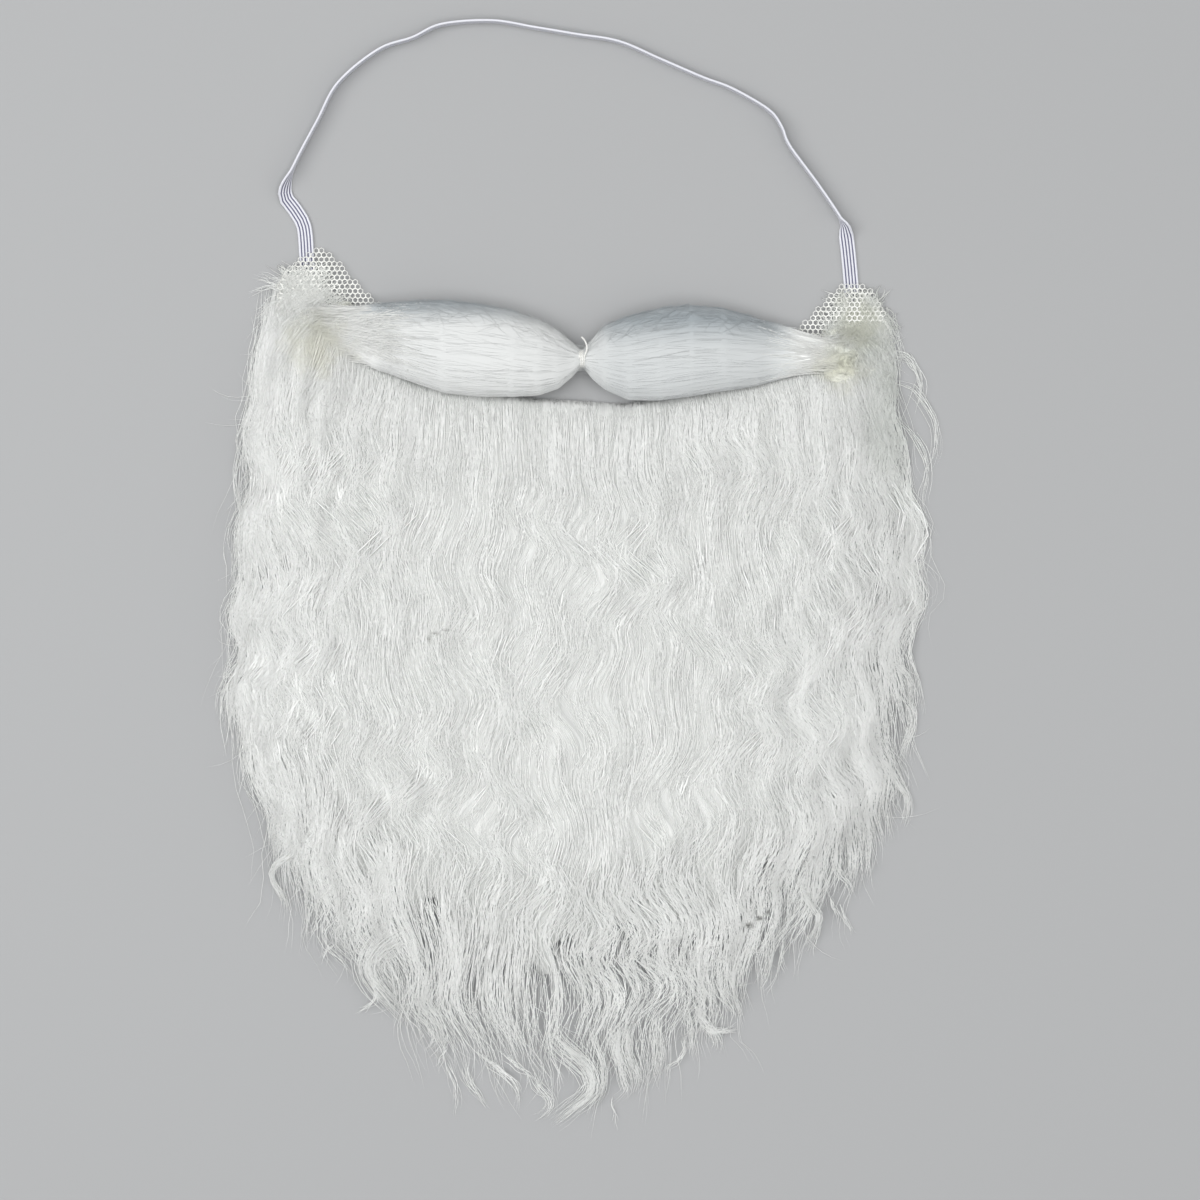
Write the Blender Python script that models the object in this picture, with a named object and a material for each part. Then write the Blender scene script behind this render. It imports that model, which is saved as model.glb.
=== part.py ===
"""A white costume beard with its moustache and head elastic, lying on its back.

Metres, +Z up. The beard lies on the plane z = 0 with its hair side up, +Y runs from the chin towards the head
elastic, and +X is to the right as one looks at the front. The sizes and tables below are in millimetres, and
finish_piece turns each piece into metres.
"""

import math

import bmesh
import bpy
import numpy as np
from mathutils import Vector

MM = 0.001

# Driving dimensions, in millimetres
GAP = 0.35
POCKET_CLEARANCE = 0.45
NET_THICKNESS = 1.0
HAIR_THICKNESS = 22.0
STRAP_WIDTH = 6.0
STRAP_THICKNESS = 1.0
TIE_CENTRE = Vector((2.7, 83.2, 8.6))
PINCH_RADIUS = 3.0

# The strap's ends are sewn under the ear tabs, which ride up over them. Columns: y where the tab has left the
# surface plane, y where it is fully up.
TAB_RISE = STRAP_THICKNESS + GAP
LEFT_RAMP = (94.0, 111.5)
RIGHT_RAMP = (83.5, 101.0)


def clear_scene():
    for thing in list(bpy.data.objects):
        bpy.data.objects.remove(thing)


def plain_material(name, colour, roughness):
    made = bpy.data.materials.new(name)
    made.use_nodes = True
    shader = made.node_tree.nodes["Principled BSDF"]
    shader.inputs["Base Color"].default_value = (*colour, 1)
    shader.inputs["Roughness"].default_value = roughness
    shader.inputs["Metallic"].default_value = 0
    return made


def finish_piece(name, bm, look=None, crease=50):
    """Turn a bmesh in millimetres into a named object; without a look it is a cutter, left out of renders."""
    bmesh.ops.scale(bm, verts=bm.verts, vec=(MM, MM, MM))
    bmesh.ops.recalc_face_normals(bm, faces=bm.faces)
    mesh = bpy.data.meshes.new(name)
    bm.to_mesh(mesh)
    bm.free()
    piece = bpy.data.objects.new(name, mesh)
    bpy.context.scene.collection.objects.link(piece)
    if look:
        mesh.materials.append(look)
        mesh.shade_smooth()
        mesh.set_sharp_from_angle(angle=math.radians(crease))
    else:
        piece.hide_render = True
        piece.display_type = "WIRE"
    return piece


def boolean(piece, operation, other):
    step = piece.modifiers.new(other.name, "BOOLEAN")
    step.operation = operation
    step.solver = "EXACT"
    step.object = other


def loft(bm, sections):
    """Extrude the first section's face through all the others, which gives a closed tube with flat ends."""
    first = face = bm.faces.new([bm.verts.new(point) for point in sections[0]])
    for section in sections[1:]:
        inner = face
        made = bmesh.ops.extrude_face_region(bm, geom=[inner])
        face = next(item for item in made["geom"] if isinstance(item, bmesh.types.BMFace))
        for vertex, point in zip(face.verts, section):
            vertex.co = point
        if inner is not first:
            bm.faces.remove(inner)


def oval(centre, across, up, half_across, half_up, sides):
    """A ring of points round a centre; across and up are the directions of its two half sizes."""
    turns = [2 * math.pi * (side + 0.5) / sides for side in range(sides)]
    return [
        centre + across * (half_across * math.cos(turn)) + up * (half_up * math.sin(turn))
        for turn in turns
    ]


def smooth_route(points, step):
    """Points about one step apart on the Catmull-Rom curve through the given plan points."""
    ends = [2 * points[0] - points[1], *points, 2 * points[-1] - points[-2]]
    route = []
    for before, start, end, after in zip(ends, ends[1:], ends[2:], ends[3:]):
        count = max(1, round((end - start).length / step))
        for part in (index / count for index in range(count)):
            route.append(
                0.5
                * (
                    2 * start
                    + (end - before) * part
                    + (2 * before - 5 * start + 4 * end - after) * part**2
                    + (3 * start - before - 3 * end + after) * part**3
                )
            )
    return [*route, points[-1]]


# Net backing. Knitted net with two rounded ear tabs, a shallow edge under the moustache and mouth, and a
# rounded lower end that the hair hides. Columns: x, y.
LEFT_TAB = [
    (-112.0, 92.0), (-113.5, 108.0), (-112.0, 115.5), (-107.0, 119.7), (-103.5, 122.8), (-97.8, 125.1),
    (-94.3, 122.8), (-90.1, 118.2), (-85.9, 113.6), (-82.0, 110.1), (-79.7, 106.6), (-76.6, 104.3),
]
FACE_EDGE = [
    (-67.4, 95.5), (-56.0, 84.5), (-44.0, 77.0), (-29.0, 71.0), (-14.8, 67.6), (2.5, 66.0), (20.6, 66.0),
    (32.7, 68.2), (48.0, 73.5), (63.5, 82.0), (75.0, 88.9),
]
RIGHT_TAB = [
    (84.7, 93.9), (88.2, 96.6), (92.4, 100.1), (98.9, 107.4), (102.0, 110.9), (106.0, 111.7), (110.5, 110.6),
    (113.6, 109.0), (116.7, 103.6), (119.0, 97.4), (118.6, 90.0),
]
CHIN_CENTRE = (1.8, 84.0)
CHIN_HALF_WIDTH = 113.0
CHIN_DEPTH = 165.0
CHIN_STEPS = 22
# Open cells show only on the upper parts of the tabs, above these heights.
CELL_PITCH = 2.3
CELL_RADIUS = 0.86
CELL_MARGIN = 1.5
LEFT_CELLS_ABOVE = 108.7
RIGHT_CELLS_ABOVE = 97.0


def net_outline():
    chin = []
    for step in range(1, CHIN_STEPS):
        turn = math.pi * step / CHIN_STEPS
        x = CHIN_CENTRE[0] + CHIN_HALF_WIDTH * math.cos(turn)
        chin.append((x, CHIN_CENTRE[1] - CHIN_DEPTH * math.sin(turn)))
    return [Vector(point) for point in [*LEFT_TAB, *FACE_EDGE, *RIGHT_TAB, *chin]]


def grown(outline, margin):
    """The clockwise outline moved outwards by a margin."""
    moved = []
    for before, here, after in zip([outline[-1], *outline], outline, [*outline[1:], outline[0]]):
        first = (here - before).normalized()
        second = (after - here).normalized()
        out = Vector((-first.y - second.y, first.x + second.x)).normalized()
        moved.append(here + out * (margin / max(0.5, out.dot(Vector((-first.y, first.x))))))
    return moved


def well_inside(outline, point, margin):
    """Whether a point is inside the outline and at least a margin from it."""
    inside = False
    for start, end in zip(outline, [*outline[1:], outline[0]]):
        along = end - start
        share = min(1, max(0, (point - start).dot(along) / along.length_squared))
        if (start + along * share - point).length < margin:
            return False
        if (start.y > point.y) != (end.y > point.y):
            inside ^= point.x < start.x + along.x * (point.y - start.y) / along.y
    return inside


def net_cells(outline):
    """Centres of the staggered open cells on the bare upper part of each tab."""
    row_pitch = CELL_PITCH * math.sqrt(3) / 2
    centres = []
    for row in range(20):
        for column in range(-54, 56):
            x = (column + (row % 2) / 2) * CELL_PITCH
            lowest = LEFT_CELLS_ABOVE if x < 0 else RIGHT_CELLS_ABOVE
            centre = Vector((x, lowest + row * row_pitch))
            if well_inside(outline, centre, CELL_MARGIN):
                centres.append(centre)
    return centres


def tab_lift(point):
    """How far the net has risen at a point, to pass over the strap's sewn end."""
    start, end = LEFT_RAMP if point.x < 0 else RIGHT_RAMP
    return TAB_RISE * min(1, max(0, (point.y - start) / (end - start)))


def net_slab(outline, holes, low, high):
    """A slab of net between two heights, cut through at the holes and bent up at the tabs."""
    bm = bmesh.new()
    for ring in [outline, *holes]:
        corners = [bm.verts.new((point.x, point.y, low)) for point in ring]
        for start, end in zip(corners, [*corners[1:], corners[0]]):
            bm.edges.new((start, end))
    bmesh.ops.triangle_fill(bm, edges=bm.edges, use_beauty=True, normal=(0, 0, 1))
    for side, ramp in ((-1, LEFT_RAMP), (1, RIGHT_RAMP)):
        for height in ramp:
            faces = [face for face in bm.faces if face.calc_center_median().x * side > 0]
            edges = {edge for face in faces for edge in face.edges}
            corners = {vertex for face in faces for vertex in face.verts}
            bmesh.ops.bisect_plane(
                bm, geom=[*faces, *edges, *corners], plane_co=(0, height, 0), plane_no=(0, 1, 0)
            )
    made = bmesh.ops.extrude_face_region(bm, geom=bm.faces[:])
    upper = [item for item in made["geom"] if isinstance(item, bmesh.types.BMVert)]
    bmesh.ops.translate(bm, verts=upper, vec=(0, 0, high - low))
    for vertex in bm.verts:
        vertex.co.z += tab_lift(vertex.co)
    return bm


def make_net(look):
    outline = net_outline()
    corners = [Vector((math.sin(math.pi * side / 3), math.cos(math.pi * side / 3))) for side in range(6)]
    cells = [[centre + corner * CELL_RADIUS for corner in corners] for centre in net_cells(outline)]
    finish_piece("net_backing", net_slab(outline, cells, 0, NET_THICKNESS), look, crease=30)


# Moustache hank. One bundle of straight fibre, pinched by its tie into two spindle lobes that rest on the
# net. Columns: x, lower y, upper y, lower z, upper z.
MOUSTACHE_SECTIONS = [
    (-94.3, 93.2, 97.8, 3.6, 6.6),
    (-88.6, 88.6, 101.3, 2.9, 9.5),
    (-77.0, 79.5, 104.0, 2.4, 14.5),
    (-64.3, 74.6, 104.9, 2.0, 18.5),
    (-50.0, 69.6, 105.3, 1.05, 21.5),
    (-36.0, 68.2, 104.0, 1.05, 22.0),
    (-24.0, 68.2, 101.4, 1.05, 21.5),
    (-14.0, 68.8, 98.0, 1.2, 19.5),
    (-6.5, 71.3, 94.0, 2.6, 16.5),
    (-1.2, 75.8, 89.6, 4.0, 13.2),
    (0.9, 80.2, 86.2, 5.6, 11.6),
    (4.5, 80.2, 86.2, 5.6, 11.6),
    (6.4, 75.4, 90.6, 4.0, 13.2),
    (11.2, 71.2, 95.9, 2.4, 16.8),
    (20.4, 67.0, 99.3, 1.1, 20.0),
    (32.7, 66.8, 102.4, 1.05, 21.8),
    (44.3, 68.4, 103.6, 1.05, 22.0),
    (56.6, 70.4, 102.4, 1.05, 20.5),
    (68.9, 72.3, 98.9, 1.4, 17.0),
    (84.3, 76.6, 94.7, 2.6, 12.0),
    (97.8, 79.9, 90.5, 3.0, 8.5),
    (106.6, 83.4, 87.2, 3.4, 6.4),
]
MOUSTACHE_SIDES = 12


def moustache_body(margin):
    bm = bmesh.new()
    first_x, last_x = MOUSTACHE_SECTIONS[0][0], MOUSTACHE_SECTIONS[-1][0]
    sections = []
    for x, low_y, high_y, low_z, high_z in MOUSTACHE_SECTIONS:
        centre = Vector((x, (low_y + high_y) / 2, (low_z + high_z) / 2))
        centre.x += margin * ((x == last_x) - (x == first_x))
        half_y, half_z = (high_y - low_y) / 2 + margin, (high_z - low_z) / 2 + margin
        ring = oval(centre, Vector((0, 1, 0)), Vector((0, 0, 1)), half_y, half_z, MOUSTACHE_SIDES)
        sections.append(ring)
    loft(bm, sections)
    return bm


# Moustache tie. Thread wound three times round the pinch. Columns: place along the pinch, radius.
TIE_PROFILE = [
    (-1.2, PINCH_RADIUS + GAP), (-1.2, 3.75), (-0.8, 4.1), (-0.4, 3.8), (0, 4.1), (0.4, 3.8), (0.8, 4.1),
    (1.2, 3.75), (1.2, PINCH_RADIUS + GAP),
]
TIE_STEPS = 16


def make_tie(look):
    bm = bmesh.new()
    profile = [bm.verts.new(TIE_CENTRE + Vector((along, 0, radius))) for along, radius in TIE_PROFILE]
    edges = [bm.edges.new(pair) for pair in zip(profile, [*profile[1:], profile[0]])]
    bmesh.ops.spin(
        bm, geom=[*profile, *edges], cent=TIE_CENTRE, axis=(1, 0, 0), angle=2 * math.pi, steps=TIE_STEPS,
        use_merge=True,
    )
    finish_piece("moustache_tie", bm, look)


# Beard hair. Long wavy locks side by side, rooted on the net and lying past its edge down on the surface.
# Each lock is a strip with a crest, and neighbours share the valley between them, so together they are one
# skin over a flat back. The table follows a hair from root to tip at places across the beard.
# Columns: share of the way across, root x, root y, middle x, middle y, tip x, tip y.
HAIR_FLOW = [
    (0.00, -117.5, 101.5, -127.5, 22.0, -128.5, -58.0),
    (0.08, -112.0, 104.0, -118.5, 2.0, -117.5, -104.0),
    (0.16, -102.0, 101.5, -108.5, -17.0, -110.0, -129.0),
    (0.26, -84.5, 87.0, -88.5, -40.0, -80.0, -165.0),
    (0.36, -56.0, 74.0, -60.5, -55.5, -48.0, -184.0),
    (0.48, -17.0, 68.3, -15.5, -67.0, -11.5, -200.0),
    (0.58, 20.5, 66.2, 22.0, -63.0, 25.0, -191.0),
    (0.68, 50.0, 72.0, 58.0, -51.5, 58.0, -175.0),
    (0.78, 77.0, 80.5, 86.5, -40.0, 83.0, -150.0),
    (0.87, 96.5, 88.5, 101.5, -24.5, 106.5, -122.0),
    (0.94, 110.0, 93.0, 114.5, -9.0, 120.5, -92.0),
    (1.00, 120.0, 94.5, 126.5, 14.0, 128.5, -50.0),
]
LOCK_COUNT = 17
LOCK_ROWS = 45
LOCK_RELIEF = (3.2, 5.6)
EDGE_THICKNESS = 0.8
CREST_REACH = (4.0, 14.0)
VALLEY_SETBACK = 9.0
WAVE_LENGTH = 33.0
WAVE_HEIGHT = 4.0
WAVE_START = 26.0
WAVE_GROWTH = 35.0
# Neighbouring locks swing a little out of step. Columns: phase, turns across the beard, start.
WAVE_PATCHES = [(1.3, 10.5, 0.4), (0.8, 25.0, 1.0)]
# Columns: share of the length, share of the full thickness.
THICKNESS_ALONG = [
    (0, 0.25), (0.06, 0.52), (0.16, 0.85), (0.35, 1), (0.62, 0.97), (0.8, 0.72), (0.92, 0.36), (1, 0),
]
# Columns: share of the way in from a side to the middle, share of the full thickness.
THICKNESS_ACROSS = [(0, 0), (0.06, 0.26), (0.16, 0.56), (0.32, 0.83), (0.6, 0.97), (1, 1)]


def read_table(table, column, place):
    return float(np.interp(place, [row[0] for row in table], [row[column] for row in table]))


def hair_ends(across):
    """The root, middle and tip in plan of the hair at a share of the way across."""
    values = [read_table(HAIR_FLOW, column, across) for column in range(1, 7)]
    return Vector(values[0:2]), Vector(values[2:4]), Vector(values[4:6])


def hair_length(across):
    root, middle, tip = hair_ends(across)
    return (middle - root).length + (tip - middle).length


def hair_place(across, along):
    """A point in plan on a curve through the hair's root, middle and tip, with waves past the root."""
    root, middle, tip = hair_ends(across)
    place = root * (2 * (along - 0.5) * (along - 1)) + middle * (4 * along * (1 - along))
    place += tip * (2 * along * (along - 0.5))
    patch = sum(phase * math.sin(turns * across + start) for phase, turns, start in WAVE_PATCHES)
    swing = WAVE_HEIGHT * min(1, max(0, (along * hair_length(across) - WAVE_START) / WAVE_GROWTH))
    return place + Vector((swing * math.sin(2 * math.pi * place.y / WAVE_LENGTH + patch), 0))


def beard_skin():
    """The locks as one bent grid, with a thin wall round its edge and a flat back."""
    bm = bmesh.new()
    columns = 2 * LOCK_COUNT
    bmesh.ops.create_grid(bm, x_segments=columns, y_segments=LOCK_ROWS, size=1)
    chance = np.random.default_rng(7)
    reach = chance.uniform(*CREST_REACH, columns + 1)
    relief = chance.uniform(*LOCK_RELIEF, columns + 1)
    for vertex in bm.verts:
        across, share = (vertex.co.x + 1) / 2, (1 - vertex.co.y) / 2
        column = round(across * columns)
        crest = column % 2
        inward = 1 - abs(2 * across - 1)
        end_shift = (reach[column] if crest else -VALLEY_SETBACK) * inward**0.6
        place = hair_place(across, share + share**5 * end_shift / hair_length(across))
        height = HAIR_THICKNESS * read_table(THICKNESS_ALONG, 1, share)
        height *= read_table(THICKNESS_ACROSS, 1, inward)
        ridge = relief[column] * (crest - 0.5) * min(1, 8 * share * (1 - share), 5 * inward)
        vertex.co = (*place, max(EDGE_THICKNESS, height + ridge))
    rim = [edge for edge in bm.edges if edge.is_boundary]
    made = bmesh.ops.extrude_edge_only(bm, edges=rim)["geom"]
    for vertex in (item for item in made if isinstance(item, bmesh.types.BMVert)):
        vertex.co.z = 0
    bmesh.ops.holes_fill(bm, edges=[item for item in made if isinstance(item, bmesh.types.BMEdge)])
    bmesh.ops.triangulate(bm, faces=bm.faces)
    return bm


# Free locks that leave the outline and lie curled on the surface.
# Columns: root x and y, bend x and y, tip x and y, half width at the root.
FREE_LOCKS = [
    (-120.0, 66.0, -131.0, 44.0, -128.5, 20.0, 4.0),
    (-124.0, 6.0, -132.5, -14.0, -131.0, -34.0, 3.6),
    (-124.0, -28.0, -130.0, -46.0, -133.0, -60.5, 3.6),
    (-112.0, -84.0, -118.5, -108.0, -110.5, -131.5, 4.4),
    (-88.0, -124.0, -86.5, -150.0, -70.0, -172.0, 4.6),
    (-66.0, -150.0, -60.0, -176.0, -41.0, -191.0, 4.8),
    (8.0, -176.0, 12.0, -202.0, -7.0, -212.5, 5.2),
    (26.0, -170.0, 30.0, -194.0, 15.0, -203.5, 4.6),
    (42.0, -160.0, 46.0, -182.0, 66.0, -174.0, 4.6),
    (74.0, -138.0, 84.0, -153.0, 92.0, -138.0, 4.4),
    (104.0, -104.0, 116.0, -121.0, 127.0, -99.0, 4.4),
    (118.0, -72.0, 124.0, -95.0, 130.5, -84.0, 3.8),
    (121.0, -26.0, 128.0, -46.0, 133.0, -38.0, 3.6),
    (117.0, 74.0, 128.0, 60.0, 131.0, 36.0, 4.0),
]
FREE_LOCK_STEPS = 9
FREE_LOCK_SIDES = 6
FREE_LOCK_FLATNESS = 0.55
FREE_LOCK_TAPER = 0.85
FREE_LOCK_CLEARANCE = 0.1


def free_locks():
    bm = bmesh.new()
    for root_x, root_y, bend_x, bend_y, tip_x, tip_y, half_width in FREE_LOCKS:
        root, bend, tip = Vector((root_x, root_y)), Vector((bend_x, bend_y)), Vector((tip_x, tip_y))
        sections = []
        for along in np.linspace(0, 1, FREE_LOCK_STEPS + 1):
            place = root * (1 - along) ** 2 + bend * (2 * along * (1 - along)) + tip * along**2
            heading = ((bend - root) * (1 - along) + (tip - bend) * along).normalized()
            half = half_width * (1 - FREE_LOCK_TAPER * along**1.5)
            across = Vector((-heading.y, heading.x, 0))
            centre = Vector((*place, half * FREE_LOCK_FLATNESS + FREE_LOCK_CLEARANCE))
            ring = oval(centre, across, Vector((0, 0, 1)), half, half * FREE_LOCK_FLATNESS, FREE_LOCK_SIDES)
            sections.append(ring)
        loft(bm, sections)
    return bm


def make_beard(look):
    beard = finish_piece("beard_hair", beard_skin(), look)
    boolean(beard, "UNION", finish_piece("free_lock_shapes", free_locks()))
    pocket = net_slab(grown(net_outline(), POCKET_CLEARANCE), [], -1, NET_THICKNESS + GAP)
    boolean(beard, "DIFFERENCE", finish_piece("net_pocket", pocket))
    boolean(beard, "DIFFERENCE", finish_piece("moustache_pocket", moustache_body(POCKET_CLEARANCE)))


# Elastic strap. Flat where it is sewn under the tabs, turned on its edge round the loop. Columns: x, y.
STRAP_ROUTE = [
    (-102.4, 114.0), (-103.2, 122.0), (-104.3, 134.4), (-107.8, 141.0), (-111.5, 147.2), (-107.8, 157.9),
    (-98.9, 174.8), (-90.9, 189.4), (-75.5, 202.1), (-62.4, 206.7), (-51.2, 211.8), (-32.0, 213.2),
    (-15.4, 210.6), (0.8, 207.9), (16.9, 205.2), (33.1, 198.3), (49.3, 191.3), (60.4, 187.1), (74.3, 179.0),
    (79.3, 172.5), (82.4, 165.2), (93.2, 150.5), (102.0, 137.4), (104.3, 130.9), (106.3, 111.7),
    (106.6, 103.6),
]
STRAP_STEP = 5.5
LEFT_FLAT_RUN = 29.0
LEFT_TWIST_RUN = 17.0
RIGHT_FLAT_RUN = 25.0
RIGHT_TWIST_RUN = 10.0
STRAP_EDGE_ROUND = 0.3


def strap_turn(from_left, from_right):
    """The strap's angle to the surface: 0 where it lies flat, a quarter turn where it stands on its edge."""
    left = min(1, max(0, (from_left - LEFT_FLAT_RUN) / LEFT_TWIST_RUN))
    right = min(1, max(0, (from_right - RIGHT_FLAT_RUN) / RIGHT_TWIST_RUN))
    share = min(left, right)
    return math.pi / 2 * share * share * (3 - 2 * share)


def make_strap(look):
    route = smooth_route([Vector(point) for point in STRAP_ROUTE], STRAP_STEP)
    lengths = np.cumsum([0] + [(end - start).length for start, end in zip(route, route[1:])])
    half_width, half_thickness = STRAP_WIDTH / 2, STRAP_THICKNESS / 2
    round_in = half_width - STRAP_EDGE_ROUND
    profile = [
        (-half_width, 0), (-round_in, -half_thickness), (round_in, -half_thickness), (half_width, 0),
        (round_in, half_thickness), (-round_in, half_thickness),
    ]
    sections = []
    for index, place in enumerate(route):
        heading = (route[min(index + 1, len(route) - 1)] - route[max(index - 1, 0)]).normalized()
        turn = strap_turn(lengths[index], lengths[-1] - lengths[index])
        side = Vector((-heading.y, heading.x, 0))
        width_way = side * math.cos(turn) + Vector((0, 0, math.sin(turn)))
        thick_way = Vector((0, 0, math.cos(turn))) - side * math.sin(turn)
        ring = [width_way * along + thick_way * through for along, through in profile]
        lowest = min(point.z for point in ring)
        sections.append([point + Vector((*place, -lowest)) for point in ring])
    bm = bmesh.new()
    loft(bm, sections)
    finish_piece("elastic_strap", bm, look)


def main():
    clear_scene()
    hair = plain_material("white_fibre", (0.86, 0.87, 0.86), 0.6)
    make_net(plain_material("cream_net", (0.84, 0.83, 0.78), 0.85))
    make_beard(hair)
    finish_piece("moustache_hair", moustache_body(0), hair)
    make_tie(plain_material("white_thread", (0.88, 0.88, 0.86), 0.7))
    make_strap(plain_material("white_elastic", (0.8, 0.81, 0.86), 0.55))


main()
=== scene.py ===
import math

import bmesh
import bpy
import numpy as np
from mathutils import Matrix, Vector
from mathutils.bvhtree import BVHTree


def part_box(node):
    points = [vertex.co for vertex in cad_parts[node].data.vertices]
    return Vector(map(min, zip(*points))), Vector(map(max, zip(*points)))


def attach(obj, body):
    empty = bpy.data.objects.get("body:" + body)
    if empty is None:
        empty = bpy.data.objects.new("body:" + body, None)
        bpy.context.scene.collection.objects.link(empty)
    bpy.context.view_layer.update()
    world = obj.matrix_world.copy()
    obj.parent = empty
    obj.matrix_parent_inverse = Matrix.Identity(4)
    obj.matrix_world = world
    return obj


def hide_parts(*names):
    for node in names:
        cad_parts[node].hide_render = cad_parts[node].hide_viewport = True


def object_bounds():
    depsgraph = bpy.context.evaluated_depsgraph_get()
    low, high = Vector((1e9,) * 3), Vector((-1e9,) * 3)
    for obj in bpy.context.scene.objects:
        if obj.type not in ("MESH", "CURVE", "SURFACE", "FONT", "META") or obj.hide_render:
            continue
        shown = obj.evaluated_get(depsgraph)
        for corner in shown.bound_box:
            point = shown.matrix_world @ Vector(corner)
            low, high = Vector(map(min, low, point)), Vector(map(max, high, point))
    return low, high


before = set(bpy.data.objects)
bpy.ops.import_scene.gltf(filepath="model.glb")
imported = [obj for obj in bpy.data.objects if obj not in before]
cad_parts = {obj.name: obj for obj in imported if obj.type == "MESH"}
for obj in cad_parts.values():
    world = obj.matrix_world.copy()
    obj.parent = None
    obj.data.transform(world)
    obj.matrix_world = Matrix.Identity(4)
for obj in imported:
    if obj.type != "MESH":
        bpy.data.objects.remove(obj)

cad_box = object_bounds()
MM = 0.001

# The table top, the light and the camera. The beard lies on its back on a plain pale table under a
# large soft box, with a small one at each side, the left one the stronger; the camera looks straight down.
FLOOR_SIDE = 4.0
FLOOR_DROP = 0.0003
FLOOR_COLOUR = (0.36, 0.365, 0.37, 1)
VIEW_CENTRE = (9.6 * MM, -9.2 * MM)
VIEW_SIDE = 462 * MM
WORLD_STRENGTH = 0.38
LENS_MM, SENSOR_MM = 110, 36
# Columns: place, side, power.
SOFT_BOXES = {
    "overhead": ((0.0, 0.0, 1.9), 1.6, 28),
    "left": ((-1.0, 0.2, 1.1), 0.8, 8),
    "right": ((1.2, -0.2, 0.9), 0.9, 3),
}


def new_material(name, **constants):
    """A Principled material, with constants set on the shader's own sockets."""
    made = bpy.data.materials.new(name)
    made.use_nodes = True
    shader = made.node_tree.nodes["Principled BSDF"]
    for socket, value in constants.items():
        shader.inputs[socket.replace("_", " ")].default_value = value
    return made, made.node_tree, shader


def new_piece(name, mesh, look):
    piece = bpy.data.objects.new(name, mesh)
    bpy.context.scene.collection.objects.link(piece)
    mesh.materials.clear()
    mesh.materials.append(look)
    return piece


def from_bmesh(name, bm, look):
    mesh = bpy.data.meshes.new(name)
    bm.to_mesh(mesh)
    bm.free()
    mesh.shade_smooth()
    return new_piece(name, mesh, look)


floor_look, _, floor_shader = new_material("table_top", Roughness=0.9)
floor_shader.inputs["Base Color"].default_value = FLOOR_COLOUR
floor_bm = bmesh.new()
bmesh.ops.create_grid(floor_bm, x_segments=1, y_segments=1, size=FLOOR_SIDE / 2)
bmesh.ops.translate(floor_bm, verts=floor_bm.verts, vec=(0, 0, -FLOOR_DROP))
from_bmesh("table", floor_bm, floor_look)

for light_name, (place, side, power) in SOFT_BOXES.items():
    light = bpy.data.lights.new(light_name, "AREA")
    light.size = side
    light.energy = power
    lamp = bpy.data.objects.new(light_name, light)
    lamp.location = place
    lamp.rotation_euler = (-Vector(place)).to_track_quat("-Z", "Y").to_euler()
    bpy.context.scene.collection.objects.link(lamp)

world = bpy.data.worlds.new("studio")
world.use_nodes = True
world.node_tree.nodes["Background"].inputs["Color"].default_value = (1.0, 1.0, 1.0, 1)
world.node_tree.nodes["Background"].inputs["Strength"].default_value = WORLD_STRENGTH
bpy.context.scene.world = world
bpy.context.scene.view_settings.view_transform = "Standard"

camera_data = bpy.data.cameras.new("camera")
camera_data.lens, camera_data.sensor_width = LENS_MM, SENSOR_MM
camera = bpy.data.objects.new("camera", camera_data)
camera.location = (*VIEW_CENTRE, VIEW_SIDE * LENS_MM / SENSOR_MM)
bpy.context.scene.collection.objects.link(camera)
bpy.context.scene.camera = camera


# The head elastic. A flat 6 mm band of five rubber cores braided over with white yarn; both ends are sewn
# flat under the ear tabs, and between them the loop has tipped over to stand on its edge.
STRAP_ROUTE = [
    (-102.4, 114.0), (-103.2, 122.0), (-104.3, 134.4), (-107.8, 141.0), (-111.5, 147.2), (-107.8, 157.9),
    (-98.9, 174.8), (-90.9, 189.4), (-75.5, 202.1), (-62.4, 206.7), (-51.2, 211.8), (-32.0, 213.2),
    (-15.4, 210.6), (0.8, 207.9), (16.9, 205.2), (33.1, 198.3), (49.3, 191.3), (60.4, 187.1), (74.3, 179.0),
    (79.3, 172.5), (82.4, 165.2), (93.2, 150.5), (102.0, 137.4), (104.3, 130.9), (106.3, 111.7),
    (106.6, 103.6),
]
STRAP_STEP = 2.2
STRAP_CORES = 5
CORE_PITCH = 1.2
CORE_HALF_DEPTH = 0.5
CORE_WAIST = 0.22
LEFT_FLAT_RUN, LEFT_TWIST_RUN = 29.0, 17.0
RIGHT_FLAT_RUN, RIGHT_TWIST_RUN = 25.0, 10.0
ELASTIC_LIGHT = (0.68, 0.69, 0.74, 1)
# The gaps between the cores are painted near black: painted shade in the grooves of the white yarn.
ELASTIC_GAP_SHADE = (0.06, 0.06, 0.13, 1)
# The yarn's share of the way from a gap to a core's crest where it starts and where it is full.
CORE_SPAN = (0.34, 0.78)


def smooth_route(points, step):
    """Points about one step apart on the Catmull-Rom curve through the given ones."""
    ends = [2 * points[0] - points[1], *points, 2 * points[-1] - points[-2]]
    route = []
    for before, start, end, after in zip(ends, ends[1:], ends[2:], ends[3:]):
        count = max(1, round((end - start).length / step))
        for part in (index / count for index in range(count)):
            bend = 2 * before - 5 * start + 4 * end - after
            drift = 3 * start - before - 3 * end + after
            route.append(0.5 * (2 * start + (end - before) * part + bend * part**2 + drift * part**3))
    return [*route, points[-1]]


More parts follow.
